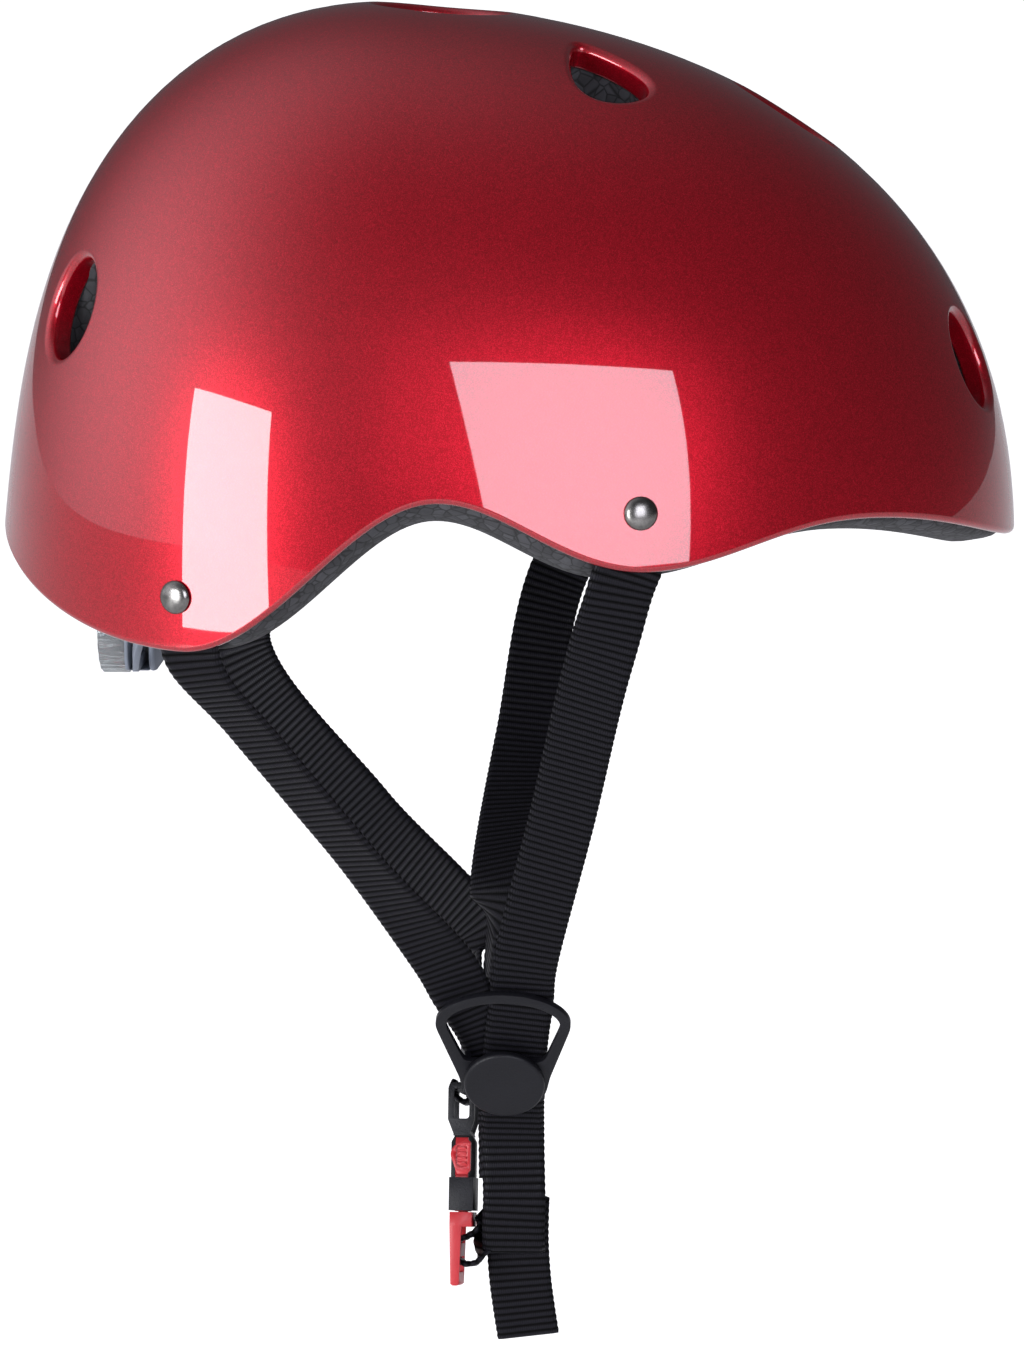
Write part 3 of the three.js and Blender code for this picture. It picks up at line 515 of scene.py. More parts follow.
class Skin:
    """Points spread over the shell's surface, triangulated in the plane of (angle from the crown)
    times (way round), with loops round each hole and along the lower edge."""

    def __init__(self, spacing, edge_drop, hole_growth, hole_rings, edge_rise):
        self.direction, self.plane = [], []
        self.loops = []
        self.polygons = []
        theta = np.arange(300) * 2 * np.pi / 300
        self.edge_phi = phi_at_height(theta, edge_height(theta) - edge_drop)
        self.edge_theta = theta
        for rise in edge_rise:
            start = self.append(directions(theta, self.edge_phi - rise / 120))
            if rise == edge_rise[0]:
                self.edge = list(range(start, start + len(theta)))
        self.polygons.append(self.plane_of(self.edge))
        for hole in hole_list():
            flat, out = hole_outline(hole)
            origin, u, v, _ = hole["axes"]
            rings = []
            for ring in hole_rings(hole):
                grown = flat + out * (ring + hole_growth(hole))
                d = unit(origin + grown[:, :1] * u + grown[:, 1:] * v - CENTRE)
                start = self.append(d)
                rings.append(list(range(start, start + len(d))))
            hole["rings"] = rings
            hole["out"] = out[:, :1] * u + out[:, 1:] * v
            hole["reach"] = hole_rings(hole)[-1] + hole_growth(hole)
            self.loops.append(hole)
            self.polygons.append(self.plane_of(rings[0]))
        self.fill(spacing, edge_rise[-1])
        self.join()

    def append(self, d):
        start = sum(len(block) for block in self.direction)
        self.direction.append(d)
        phi = np.arccos(np.clip(d[:, 2], -1, 1))
        theta = np.arctan2(d[:, 1], d[:, 0])
        self.plane.append(np.stack([phi * np.cos(theta), phi * np.sin(theta)], -1))
        return start

    def plane_of(self, indices):
        return np.concatenate(self.plane)[indices]

    def fill(self, spacing, edge_rise):
        """A grid of staggered points, kept clear of the holes and the edge."""
        step = spacing / 130
        rows = np.arange(-60, 60)
        x = np.concatenate([(np.arange(-75, 75) + 0.5 * (row % 2)) * step for row in rows])
        y = np.concatenate([np.full(150, row * step * 0.866) for row in rows])
        phi, theta = np.hypot(x, y), np.arctan2(y, x)
        limit = np.interp(theta % (2 * np.pi), np.append(self.edge_theta, 2 * np.pi),
                          np.append(self.edge_phi, self.edge_phi[0]))
        keep = phi < limit - (edge_rise + 0.6 * spacing) / 120
        d = directions(theta, phi)
        points = surface_along(d)
        for hole in self.loops:
            origin, u, v, n = hole["axes"]
            away = points - origin
            a, b, c = away @ u, away @ v, away @ n
            margin = hole["reach"] + 0.55 * spacing
            sine = np.clip(b / hole["along"], -1, 1)
            across = hole["across"] * (1 - hole["taper"] * sine)
            inside = (a / (across + margin)) ** 2 + (b / (hole["along"] + margin)) ** 2 < 1
            keep &= ~(inside & (np.abs(c) < 40))
        self.append(d[keep])

    def join(self):
        plane = np.concatenate(self.plane)
        self.direction = unit(np.concatenate(self.direction))
        edges = []
        for loop in [self.edge] + [hole["rings"][0] for hole in self.loops]:
            edges += list(zip(loop, loop[1:] + loop[:1]))
        made = delaunay_2d_cdt([Vector(p) for p in plane], edges, [], 1, 1e-9)
        back = [ids[0] if ids else -1 for ids in made[3]]
        triangles = np.array([[back[i] for i in face] for face in made[2]])
        middle = plane[triangles].mean(1)
        keep = inside_polygon(middle, self.polygons[0])
        for polygon in self.polygons[1:]:
            keep &= ~inside_polygon(middle, polygon)
        triangles = triangles[keep]
        a, b, c = plane[triangles[:, 0]], plane[triangles[:, 1]], plane[triangles[:, 2]]
        area = (b - a)[:, 0] * (c - a)[:, 1] - (b - a)[:, 1] * (c - a)[:, 0]
        triangles[area < 0] = triangles[area < 0][:, ::-1]
        self.triangles = triangles[np.abs(area) > 1e-12]


def inside_polygon(points, polygon):
    x, y = points[:, :1], points[:, 1:]
    x0, y0 = polygon[:, 0], polygon[:, 1]
    x1, y1 = np.roll(x0, -1), np.roll(y0, -1)
    with np.errstate(divide="ignore", invalid="ignore"):
        crossing = ((y0 > y) != (y1 > y)) & (x < (x1 - x0) * (y - y0) / (y1 - y0) + x0)
    return crossing.sum(1) % 2 == 1


class Body:
    """Collects points, normals and faces, and bridges matching loops of points."""

    def __init__(self):
        self.points, self.normals, self.faces = [], [], []

    def add(self, points, normals):
        start = sum(len(block) for block in self.points)
        self.points.append(np.asarray(points, float))
        self.normals.append(np.asarray(normals, float))
        return np.arange(start, start + len(points))

    def bridge(self, upper, lower, flip=False):
        for k in range(len(upper)):
            after = (k + 1) % len(upper)
            quad = [upper[k], upper[after], lower[after], lower[k]]
            self.faces.append(tuple(int(i) for i in (quad[::-1] if flip else quad)))

    def skins(self, triangles, outer, outer_normal, inner, inner_normal):
        """The outer and the inner skin, over the same triangles."""
        top, under = self.add(outer, outer_normal), self.add(inner, inner_normal)
        self.faces += [tuple(int(top[i]) for i in tri) for tri in triangles]
        self.faces += [tuple(int(under[i]) for i in tri[::-1]) for tri in triangles]
        return top, under

    def follow(self, last, points, normals, flip=False):
        """A new loop of points, joined to the last one."""
        following = self.add(points, normals)
        self.bridge(last, following, flip)
        return following

    def build(self, name, material, body, nodes, own_normals=True):
        points = np.concatenate(self.points)
        normals = unit(np.concatenate(self.normals)) if own_normals else None
        return make_piece(name, points, self.faces, material, body, nodes, normals)


# A vent's rolled lip, and the small one round any other hole.
LIP_RADIUS, SMALL_LIP = 2.2, 0.4
LIP_STEPS = 6
FLANGE_DEPTH = 6.0
FLANGE_HALF = 0.7


def lip_radius(hole):
    return LIP_RADIUS if hole["vent"] else SMALL_LIP


def lip_ring(hole, k):
    """How far from the hole's outline the k-th ring of its rounded lip lies."""
    radius = lip_radius(hole)
    return radius - radius * math.cos(math.pi / 2 * k / LIP_STEPS)


def shell_hole_rings(hole):
    lip = [lip_ring(hole, k) for k in range(LIP_STEPS + 1)]
    return lip + [lip[-1] + gap for gap in ((1.2, 3.0, 5.5) if hole["vent"] else (0.8, 2.2))]


def make_shell(material):
    half = SHELL_WALL / 2
    skin = Skin(4.4, 0, lambda hole: 0, shell_hole_rings, [half, half + 1, half + 2.6, half + 5])
    d = skin.direction
    base, normal = surface_along(d), surface_normal(d)
    outer, outer_normal = base.copy(), normal.copy()
    inner = base - normal * SHELL_WALL * 0.97
    for hole in skin.loops:
        radius = lip_radius(hole)
        for k, ring in enumerate(hole["rings"][:LIP_STEPS + 1]):
            angle = math.pi / 2 * k / LIP_STEPS
            outer[ring] = base[ring] - normal[ring] * radius * (1 - math.sin(angle))
            out = hole["out"] - normal[ring] * np.sum(hole["out"] * normal[ring], -1, keepdims=True)
            outer_normal[ring] = unit(normal[ring] * math.sin(angle) - unit(out) * math.cos(angle))
        if hole["vent"]:
            reach = shell_hole_rings(hole)[-1]
            for offset, ring in zip(shell_hole_rings(hole), hole["rings"]):
                push = 2 * FLANGE_HALF * (1 - offset / reach)
                inner[ring] += hole["out"] * push
    body = Body()
    top, under = body.skins(skin.triangles, outer, outer_normal, inner, -normal)
    for hole in skin.loops:
        ring = hole["rings"][0]
        last = top[ring]
        if hole["vent"]:
            start, n, out = base[ring], normal[ring], hole["out"]
            for depth in (3.2, 4.6, FLANGE_DEPTH):
                last = body.follow(last, start - n * depth, -out)
            for k in range(1, 5):
                angle = math.pi * k / 4
                shift = FLANGE_HALF * (1 - math.cos(angle))
                sink = FLANGE_DEPTH + FLANGE_HALF * math.sin(angle)
                way = -out * math.cos(angle) - n * math.sin(angle)
                last = body.follow(last, start + out * shift - n * sink, way)
        body.bridge(last, under[ring])
    edge = skin.edge
    downhill = unit(np.cross(normal[edge], np.roll(base[edge], -1, 0) - np.roll(base[edge], 1, 0))) * -1
    last = top[edge]
    for k in range(1, 8):
        angle = math.pi * k / 8
        centre = base[edge] - normal[edge] * half
        way = normal[edge] * math.cos(angle) + downhill * math.sin(angle)
        last = body.follow(last, centre + way * half, way, flip=True)
    body.bridge(last, under[edge], flip=True)
    return body.build("shell", material, "helmet", ["outer_shell"])


def liner_inset(theta, phi):
    lip = phi_at_height(theta, edge_height(theta) - RIM_DROP)
    share = np.clip((phi / lip - 0.55) / 0.45, 0, 1)
    share = share * share * (3 - 2 * share)
    return SHELL_WALL + FIT_GAP + LINER_CROWN + (LINER_RIM - LINER_CROWN) * share


def pocket_depth(points):
    """How far the liner is hollowed behind each rivet, where the strap lies."""
    depth = np.zeros(len(points))
    for theta, phi in RIVETS.values():
        for side in SIDES.values():
            origin, u, v, n = shell_frame(side * theta, phi)
            away = points - origin
            a, b, c = np.abs(away @ u), away @ v, np.abs(away @ n)
            near = np.clip((11.5 - a) / 2.5, 0, 1) * np.clip((12 - b) / 3, 0, 1) * (c < 30)
            depth = np.maximum(depth, 5.2 * near)
    return depth


def liner_hole_rings(hole):
    return [0, 0.5, 1.4, 3.2, 5.5] if hole["vent"] else [0.0, 1.5]


def make_liner(material):
    rounding = 2.0
    skin = Skin(4.8, RIM_DROP, lambda hole: 1.9 if hole["vent"] else 0.4, liner_hole_rings,
                [rounding, rounding + 1.5, rounding + 3.5])
    d = skin.direction
    theta, phi = np.arctan2(d[:, 1], d[:, 0]), np.arccos(np.clip(d[:, 2], -1, 1))
    normal = surface_normal(d)
    base = surface_along(d)
    outer = surface_along(d, np.full(len(d), SHELL_WALL + FIT_GAP)) - normal * pocket_depth(base)[:, None]
    inner = surface_along(d, liner_inset(theta, phi))
    body = Body()
    top, under = body.skins(skin.triangles, outer, normal, inner, -normal)
    for hole in skin.loops:
        ring = hole["rings"][0]
        last = top[ring]
        for share in (0.08, 0.3, 0.6, 0.92):
            middle = outer[ring] + (inner[ring] - outer[ring]) * share
            last = body.follow(last, middle, -hole["out"])
        body.bridge(last, under[ring])
    edge = skin.edge
    along = np.roll(base[edge], -1, 0) - np.roll(base[edge], 1, 0)
    downhill = -unit(np.cross(normal[edge], along))
    last = top[edge]
    for share in (0.04, 0.14, 0.3, 0.5, 0.7, 0.86, 0.96):
        sink = rounding * (1 - abs(2 * share - 1) ** 4) ** 0.5
        middle = outer[edge] + (inner[edge] - outer[edge]) * share + downhill * sink
        way = downhill + normal[edge] * (1 - 2 * share) ** 3 * 2
        last = body.follow(last, middle, way, flip=True)
    body.bridge(last, under[edge], flip=True)
    return body.build("liner", material, "helmet", ["foam_liner"], own_normals=False)


# ---------------------------------------------------------------- webbing

WEB_WIDTH = 17.2
WEB_HALF = 0.52
RIB_HEIGHT = 0.3
WEB_COLUMNS = 14
ALONG_STEP = RIB_PITCH / 5


def row(*values):
    return np.array(values, float)


def curve_through(points, steps=80):
    """Centripetal Catmull-Rom through the points: places, and which stretch each lies on."""
    points = np.asarray(points, float)
    ends = np.vstack([2 * points[0] - points[1], points, 2 * points[-1] - points[-2]])
    places, stretches = [], []
    for k in range(len(points) - 1):
        p0, p1, p2, p3 = ends[k:k + 4]
        t0 = 0.0
        t1 = t0 + max(np.linalg.norm(p1 - p0), 1e-6) ** 0.5
        t2 = t1 + max(np.linalg.norm(p2 - p1), 1e-6) ** 0.5
        t3 = t2 + max(np.linalg.norm(p3 - p2), 1e-6) ** 0.5
        share = np.arange(steps) / steps
        if k == len(points) - 2:
            share = np.append(share, 1.0)
        t = (t1 + (t2 - t1) * share)[:, None]
        a1 = (t1 - t) / (t1 - t0) * p0 + (t - t0) / (t1 - t0) * p1
        a2 = (t2 - t) / (t2 - t1) * p1 + (t - t1) / (t2 - t1) * p2
        a3 = (t3 - t) / (t3 - t2) * p2 + (t - t2) / (t3 - t2) * p3
        b1 = (t2 - t) / (t2 - t0) * a1 + (t - t0) / (t2 - t0) * a2
        b2 = (t3 - t) / (t3 - t1) * a2 + (t - t1) / (t3 - t1) * a3
        places.append((t2 - t) / (t2 - t1) * b1 + (t - t1) / (t2 - t1) * b2)
        stretches.append(k + share)
    return np.concatenate(places), np.concatenate(stretches)


def webbing(name, stops, nodes, body):
    """Ribbed webbing along the stops, each a place and the direction of the webbing's width."""
    places, stretches = curve_through([stop[0] for stop in stops])
    widths = np.array([stop[1] for stop in stops], float)
    lengths = np.append(0, np.cumsum(np.linalg.norm(np.diff(places, axis=0), axis=1)))
    count = int(lengths[-1] / ALONG_STEP)
    s = np.linspace(0, lengths[-1], count + 1)
    centre = np.stack([np.interp(s, lengths, places[:, k]) for k in range(3)], 1)
    at = np.interp(s, lengths, stretches)
    low = np.minimum(at.astype(int), len(stops) - 2)
    share = at - low
    share = (share * share * (3 - 2 * share))[:, None]
    across = widths[low] * (1 - share) + widths[low + 1] * share
    tangent = unit(np.gradient(centre, axis=0))
    across = unit(across - tangent * np.sum(across * tangent, 1, keepdims=True))
    for _ in range(12):
        across[1:-1] = unit(across[:-2] + 2 * across[1:-1] + across[2:])
    normal = np.cross(tangent, across)
    phase = s / RIB_PITCH * np.pi
    rib = np.abs(np.sin(phase)) ** 0.7
    edge_rib = np.abs(np.sin(phase + np.pi / 4))
    taper = np.clip(np.minimum(s, s[-1] - s) / 0.8, 0.15, 1) ** 0.5
    points, uvs = [], []
    columns = np.linspace(-1, 1, WEB_COLUMNS)
    for top in (1, -1):
        for c in columns * top:
            selvedge = np.clip((abs(c) * WEB_WIDTH / 2 - (WEB_WIDTH / 2 - 1.1)) / 0.35, 0, 1)
            relief = RIB_HEIGHT * ((1 - selvedge) * rib + selvedge * edge_rib)
            round_off = (1 - max(0, abs(c) - 0.93) / 0.07 * 0.72)
            height = (WEB_HALF + relief) * round_off * taper
            reach = c * (WEB_WIDTH / 2 - 0.25 + 0.22 * edge_rib * (abs(c) > 0.9))
            points.append(centre + across * reach[:, None] + normal * (top * height)[:, None])
            uvs.append(np.stack([np.full(len(s), c * WEB_WIDTH / 2 + 40), s], 1))
    ring = len(points)
    grid = np.stack(points, 1).reshape(-1, 3)
    uv = np.stack(uvs, 1).reshape(-1, 2)
    faces = []
    for k in range(count):
        for c in range(ring):
            a, b = k * ring + c, k * ring + (c + 1) % ring
            faces.append((a, a + ring, b + ring, b))
    half = ring // 2
    for k, flip in ((0, False), (count, True)):
        for c in range(half - 1):
            quad = (k * ring + c, k * ring + c + 1, k * ring + ring - 2 - c, k * ring + ring - 1 - c)
            faces.append(quad[::-1] if flip else quad)
    return make_piece(name, grid, faces, materials["webbing"], body, nodes, uvs=uv)


DIVIDERS = {
    "right": dict(side=-1, origin=row(1.6, -27, -252), lean=25, turn=0, junction=13),
    "left": dict(side=1, origin=row(-4.8, 9.4, -255.4), lean=27, turn=-80, junction=18),
}
UPPER_STRAPS = {
    "front": dict(layer=-1.3, drop=19),
    "rear": dict(layer=-3.3, drop=18),
}
# Each strap's sideways shift below the rivet, the places it hangs through with its width's
# direction, how its width lies when it reaches the divider, and its (across, up) lead-in there.
UPPER_ROUTES = {
    "right_front": (-4.5, [(row(26.9, -82, -133), row(1, -0.25, 0)),
                           (row(18.4, -62, -172), row(1, -0.2, 0))],
                    row(1, 0, 0), [(5.8, 23), (4.9, 12), (3.4, 0)]),
    "right_rear": (2, [(row(-59.5, -77, -149), row(0.9, -0.6, 0.1)),
                       (row(-37.6, -61, -181), row(0.9, -0.6, 0.1))],
                   row(1, 0, 0), [(-15.3, 23), (-10.6, 12), (-4.6, 0)]),
    "left_front": (-5.5, [(row(12.3, 88, -132), row(1, 0, 0)), (row(2.5, 66, -178), row(1, 0, 0.05))],
                   row(0.8, -0.5, 0.1), [(17.8, 23), (13.0, 13), (4.2, 0)]),
    "left_rear": (2, [(row(-79.5, 83, -156), row(0.85, -0.2, 0.5)),
                      (row(-42.3, 57, -199), row(0.78, 0, 0.62))],
                  row(0.9, -0.3, 0.6), [(-8.2, 17), (-7.6, 9), (-4.8, 0)]),
}
WEB_INSET = 5.0
FRONT_LAYER, REAR_LAYER = -1.45, -2.95


class Divider:
    """A strap divider's axes: across it, v up the strap and n out of its face."""

    def __init__(self, name):
        data = DIVIDERS[name]
        side, lean, turn = data["side"], math.radians(data["lean"]), math.radians(data["turn"])
        self.origin, self.junction = data["origin"], data["junction"]
        self.v = row(0, side * math.sin(lean), math.cos(lean))
        face = row(0, side * math.cos(lean), -math.sin(lean))
        self.across = row(math.cos(turn), 0, 0) + face * math.sin(turn)
        self.n = face * math.cos(turn) + row(-math.sin(turn), 0, 0)

    def at(self, a, b, c):
        return self.origin + self.across * a + self.v * b + self.n * c


BUCKLE_X, BUCKLE_Y, BUCKLE_LEAN, BUCKLE_TOP = -11, 5, 18, -263.6
BUCKLE_PLACE = (Matrix.Translation((0, BUCKLE_Y, BUCKLE_TOP))
                @ Matrix.Rotation(math.radians(-BUCKLE_LEAN), 4, "X")
                @ Matrix.Translation((0, 0, -BUCKLE_TOP)))


def on_buckle(x, z):
    return np.array(BUCKLE_PLACE @ Vector((BUCKLE_X + x, 0, BUCKLE_TOP + z)))


# The right webbing hangs to its fold and turns up behind itself, then goes round the ladder's
# middle bar, (x, z) from the buckle's top, and comes down again as the tail.
HANGING_AND_FOLD = [(3.6, -17.9, -289.5), (3.4, -17.4, -298), (3.4, -16.4, -303), (3.4, -14.3, -305),
                    (3.2, -12.2, -303), (2.2, -11.2, -298)]
LADDER_WRAP = [(5.2, -35.5), (4.6, -39.4), (1.5, -41.7), (-1.1, -42.9), (-1.6, -45.4), (-1.1, -48.0),
               (1.5, -49.3), (4.4, -48.4)]
TAIL_START = [(4, -5, -294.5), (4.2, -7, -292.4), (4.2, -9, -296), (4.2, -10, -304)]


def upper_stops(name, end):
    side = SIDES[name]
    origin, u, v, n = shell_frame(*(side * RIVETS[end][0], RIVETS[end][1]))
    divider, strap = Divider(name), UPPER_STRAPS[end]

    def inside(down):
        return origin - n * WEB_INSET - v * down

    across = u * -side
    shift, places, arriving, leads = UPPER_ROUTES[f"{name}_{end}"]
    leave = inside(strap["drop"]) + row(shift, -side * 1.6, 0)
    widths = [arriving] + [divider.across] * (len(leads) - 1)
    reached = [(divider.at(lead, divider.junction + rise, strap["layer"]), width)
               for (lead, rise), width in zip(leads, widths)]
    return [(inside(-7), across), (inside(6), across), (leave, across), *places, *reached]


def make_webbings():
    right, left = Divider("right"), Divider("left")
    crosswise, slanting = row(1, 0, 0), row(0.7, -0.7, 0)
    lengthwise = np.array(BUCKLE_PLACE.to_3x3() @ Vector((0, -1, 0)))

    def ladder(x, z):
        return on_buckle(x, z), lengthwise

    front = upper_stops("right", "front") + [
        (right.at(2.0, -5, FRONT_LAYER), right.across), (right.at(1.6, -24, FRONT_LAYER), right.across),
        *((row(*place), crosswise) for place in HANGING_AND_FOLD), (row(-0.6, -8.4, -294), slanting),
        *(ladder(x, z) for x, z in LADDER_WRAP), (row(-4.6, -8, -304.5), row(0.4, -0.9, 0.1)),
        (row(0, -5.4, -299), slanting), *((row(*place), crosswise) for place in TAIL_START),
        (row(4.8, -9.9, -314), row(1, 0, 0.1)), (row(5.8, -8.6, -323), row(1, 0, 0.12)),
        (row(7, -7, -332), row(1, 0, 0.14))]
    piece = webbing("right_front_webbing", front,
                    ["right_front_strap", "right_lower_strap", "right_strap_end"], None)
    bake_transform(piece)
    rear = upper_stops("right", "rear") + [
        (right.at(0.4, -5, REAR_LAYER), right.across), (right.at(0.6, -24, REAR_LAYER), right.across),
        (row(2.4, -15.9, -284), crosswise)]
    webbing("right_rear_webbing", rear, ["right_rear_strap"], "helmet")
    webbing("left_rear_webbing", upper_stops("left", "rear") + [(left.at(0, 4, REAR_LAYER), left.across)],
            ["left_rear_strap"], "helmet")
    front = upper_stops("left", "front") + [
        (left.at(0, -6, FRONT_LAYER), left.across), ladder(3.6, 0), ladder(3.2, -2.4), ladder(0, -5.2),
        ladder(-3.2, -2.4), ladder(-2.8, 1)]
    webbing("left_front_webbing", front, ["left_front_strap", "left_lower_strap"], "helmet")


# ---------------------------------------------------------------- hard pieces


def apply_modifiers(piece):
    bpy.context.view_layer.objects.active = piece
    for modifier in list(piece.modifiers):
        with bpy.context.temp_override(object=piece, active_object=piece, selected_objects=[piece]):
            bpy.ops.object.modifier_apply(modifier=modifier.name)


def prism_mesh(outline, holes, low, high, place=Matrix()):
    """A flat plate: an outline with holes, from low to high along its own Z, then placed."""
    loops = [list(outline)] + [list(hole) for hole in holes]
    flat = [point for loop in loops for point in loop]
    edges, start = [], 0
    for loop in loops:
        edges += [(start + k, start + (k + 1) % len(loop)) for k in range(len(loop))]
        start += len(loop)
    made = delaunay_2d_cdt([Vector(p) for p in flat], edges, [], 1, 1e-7)
    count = len(flat)
    flat_array = np.array(flat, float)
    faces = []
    for face in made[2]:
        ids = [made[3][i][0] for i in face]
        middle = flat_array[ids].mean(0)[None]
        if any(inside_polygon(middle, np.array(hole, float))[0] for hole in holes):
            continue
        if not inside_polygon(middle, np.array(outline, float))[0]:
            continue
        a, b, c = flat_array[ids[:3]]
        if (b - a)[0] * (c - a)[1] - (b - a)[1] * (c - a)[0] < 0:
            ids = ids[::-1]
        faces.append([i + count for i in ids])
        faces.append(ids[::-1])
    start = 0
    for number, loop in enumerate(loops):
        signed = sum(loop[k][0] * loop[(k + 1) % len(loop)][1] - loop[(k + 1) % len(loop)][0] * loop[k][1]
                     for k in range(len(loop)))
        forward = (signed > 0) == (number == 0)
        for k in range(len(loop)):
            a, b = start + k, start + (k + 1) % len(loop)
            quad = [a, b, b + count, a + count]
            faces.append(quad if forward else quad[::-1])
        start += len(loop)
    mesh = bpy.data.meshes.new("prism")
    points = [place @ Vector((x, y, z)) * MM for z in (low, high) for x, y in flat]
    mesh.from_pydata(points, [], faces)
    return mesh


def box_outline(x0, x1, y0, y1):
    return [(x0, y0), (x1, y0), (x1, y1), (x0, y1)]


def combine(name, base, changes):
    """The base mesh joined with or cut by others, in turn."""
    piece = show(name, base)
    for operation, mesh in changes:
        other = show("tool", mesh)
        modifier = piece.modifiers.new("join", "BOOLEAN")
        modifier.operation = operation
        modifier.solver = "EXACT"
        modifier.object = other
        apply_modifiers(piece)
        bpy.data.objects.remove(other)
    return piece


def soften(piece, width, angle=32, segments=3):
    """Rounded edges, with flat faces kept flat."""
    mesh = bmesh.new()
    mesh.from_mesh(piece.data)
    bmesh.ops.remove_doubles(mesh, verts=mesh.verts, dist=0.01 * MM)
    bmesh.ops.dissolve_limit(mesh, angle_limit=math.radians(0.6), verts=mesh.verts, edges=mesh.edges)
    bmesh.ops.dissolve_degenerate(mesh, edges=mesh.edges, dist=0.01 * MM)
    mesh.to_mesh(piece.data)
    mesh.free()
    modifier = piece.modifiers.new("round", "BEVEL")
    modifier.width = width * MM
    modifier.segments = segments
    modifier.limit_method = "ANGLE"
    modifier.angle_limit = math.radians(angle)
    modifier.use_clamp_overlap = True
    modifier.harden_normals = True
    apply_modifiers(piece)
    piece.data.polygons.foreach_set("use_smooth", [True] * len(piece.data.polygons))
    piece.data.set_sharp_from_angle(angle=math.radians(50))
    return piece


def dress(piece, material, body, nodes):
    piece.data.materials.clear()
    piece.data.materials.append(material)
    finish_piece(piece, body, nodes)


def soft_copy(node, width, material, body, segments=2):
    """A CAD node's shape with its edges rounded."""
    piece = show(f"{node}_rounded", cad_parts[node].data.copy())
    soften(piece, width, segments=segments)
    dress(piece, material, body, [node])
    return piece


def lathe_mesh(profile, place, sectors=64):
    """A turned piece: (radius, height) pairs that start and end on the axis."""
    points, faces = [], []
    for r, h in profile[1:-1]:
        for k in range(sectors):
            angle = 2 * math.pi * k / sectors
            points.append((r * math.cos(angle), r * math.sin(angle), h))
    rings = len(profile) - 2
    for j in range(rings - 1):
        for k in range(sectors):
            a, b = j * sectors + k, j * sectors + (k + 1) % sectors
            faces.append((a, b, b + sectors, a + sectors))
    points += [(0, 0, profile[0][1]), (0, 0, profile[-1][1])]
    for k in range(sectors):
        faces.append((rings * sectors, (k + 1) % sectors, k))
        last = (rings - 1) * sectors
        faces.append((rings * sectors + 1, last + k, last + (k + 1) % sectors))
    mesh = bpy.data.meshes.new("turned")
    mesh.from_pydata([place @ Vector(p) * MM for p in points], [], faces)
    mesh.polygons.foreach_set("use_smooth", [True] * len(faces))
    return mesh


def arc(centre, radius, start, end, steps):
    return [(centre[0] + radius * math.cos(math.radians(start + (end - start) * k / steps)),
             centre[1] + radius * math.sin(math.radians(start + (end - start) * k / steps)))
            for k in range(steps + 1)]


def axes_matrix(origin, x, y, z):
    columns = np.stack([x, y, z, origin], 1)
    return Matrix([*[tuple(float(c) for c in line) for line in columns], (0, 0, 0, 1)])


RIVET_SHANK, RIVET_HEAD = 2.2, 4.2
# What lies under the shell at a rivet: the setback, the strap, a gap, the washer and a gap.
RIVET_STACK = (1.3, 1.4, 0.35, 1, 0.35)


def make_rivets():
    for end, (theta, phi) in RIVETS.items():
        for name, side in SIDES.items():
            origin, u, v, n = shell_frame(side * theta, phi)
            place = axes_matrix(origin, u, v, n)
            tail = -SHELL_WALL - sum(RIVET_STACK)
            dome = [(RIVET_HEAD - 0.25 + 0.25 * math.cos(a), 0.6 + 0.25 * math.sin(a))
                    for a in (-1.4, -0.7, 0, 0.7)]
            dome += [(r, 0.75 + 1.45 * math.sqrt(1 - (r / 3.95) ** 2))
                     for r in (3.85, 3.6, 3.2, 2.6, 1.9, 1.1, 0.4)]
            profile = [(0, tail - 1), (RIVET_SHANK + 1.3, tail - 1), (RIVET_SHANK + 1.6, tail - 0.6),
                       (RIVET_SHANK + 1.4, tail), (RIVET_SHANK, tail), (RIVET_SHANK, 0.35), *dome, (0, 2.2)]
            piece = show(f"rivet_head_{end}_{name}", lathe_mesh(profile, place, 48))
            piece.data.set_sharp_from_angle(angle=math.radians(40))
            dress(piece, materials["steel"], "helmet", [f"rivet_{end}_{name}"])


CAP_RADIUS, DIVIDER_PLATE, CHANNEL_DEPTH = 10.8, 2, 4.6


def divider_outline(inset, floor=None, floor_half=0, steps=40):
    low = CAP_RADIUS + 1 - inset
    if floor is None:
        outline = arc((0, 0), low, 180, 360, steps)
    else:
        outline = [(floor_half * (k - 6) / 6, floor) for k in range(13)]
    outline += [((18.2 - inset) * math.cos(math.pi * k / steps),
                 19 + (10.7 - inset) * math.sin(math.pi * k / steps)) for k in range(steps + 1)]
    dense = []
    for k in range(len(outline)):
        (x0, y0), (x1, y1) = outline[k], outline[(k + 1) % len(outline)]
        parts = max(1, round(math.hypot(x1 - x0, y1 - y0) / 0.9))
        dense += [(x0 + (x1 - x0) * j / parts, y0 + (y1 - y0) * j / parts) for j in range(parts)]
    points = np.array(dense)
    for _ in range(6):
        points = (np.roll(points, 1, 0) + 2 * points + np.roll(points, -1, 0)) / 4
    return [tuple(p) for p in points]


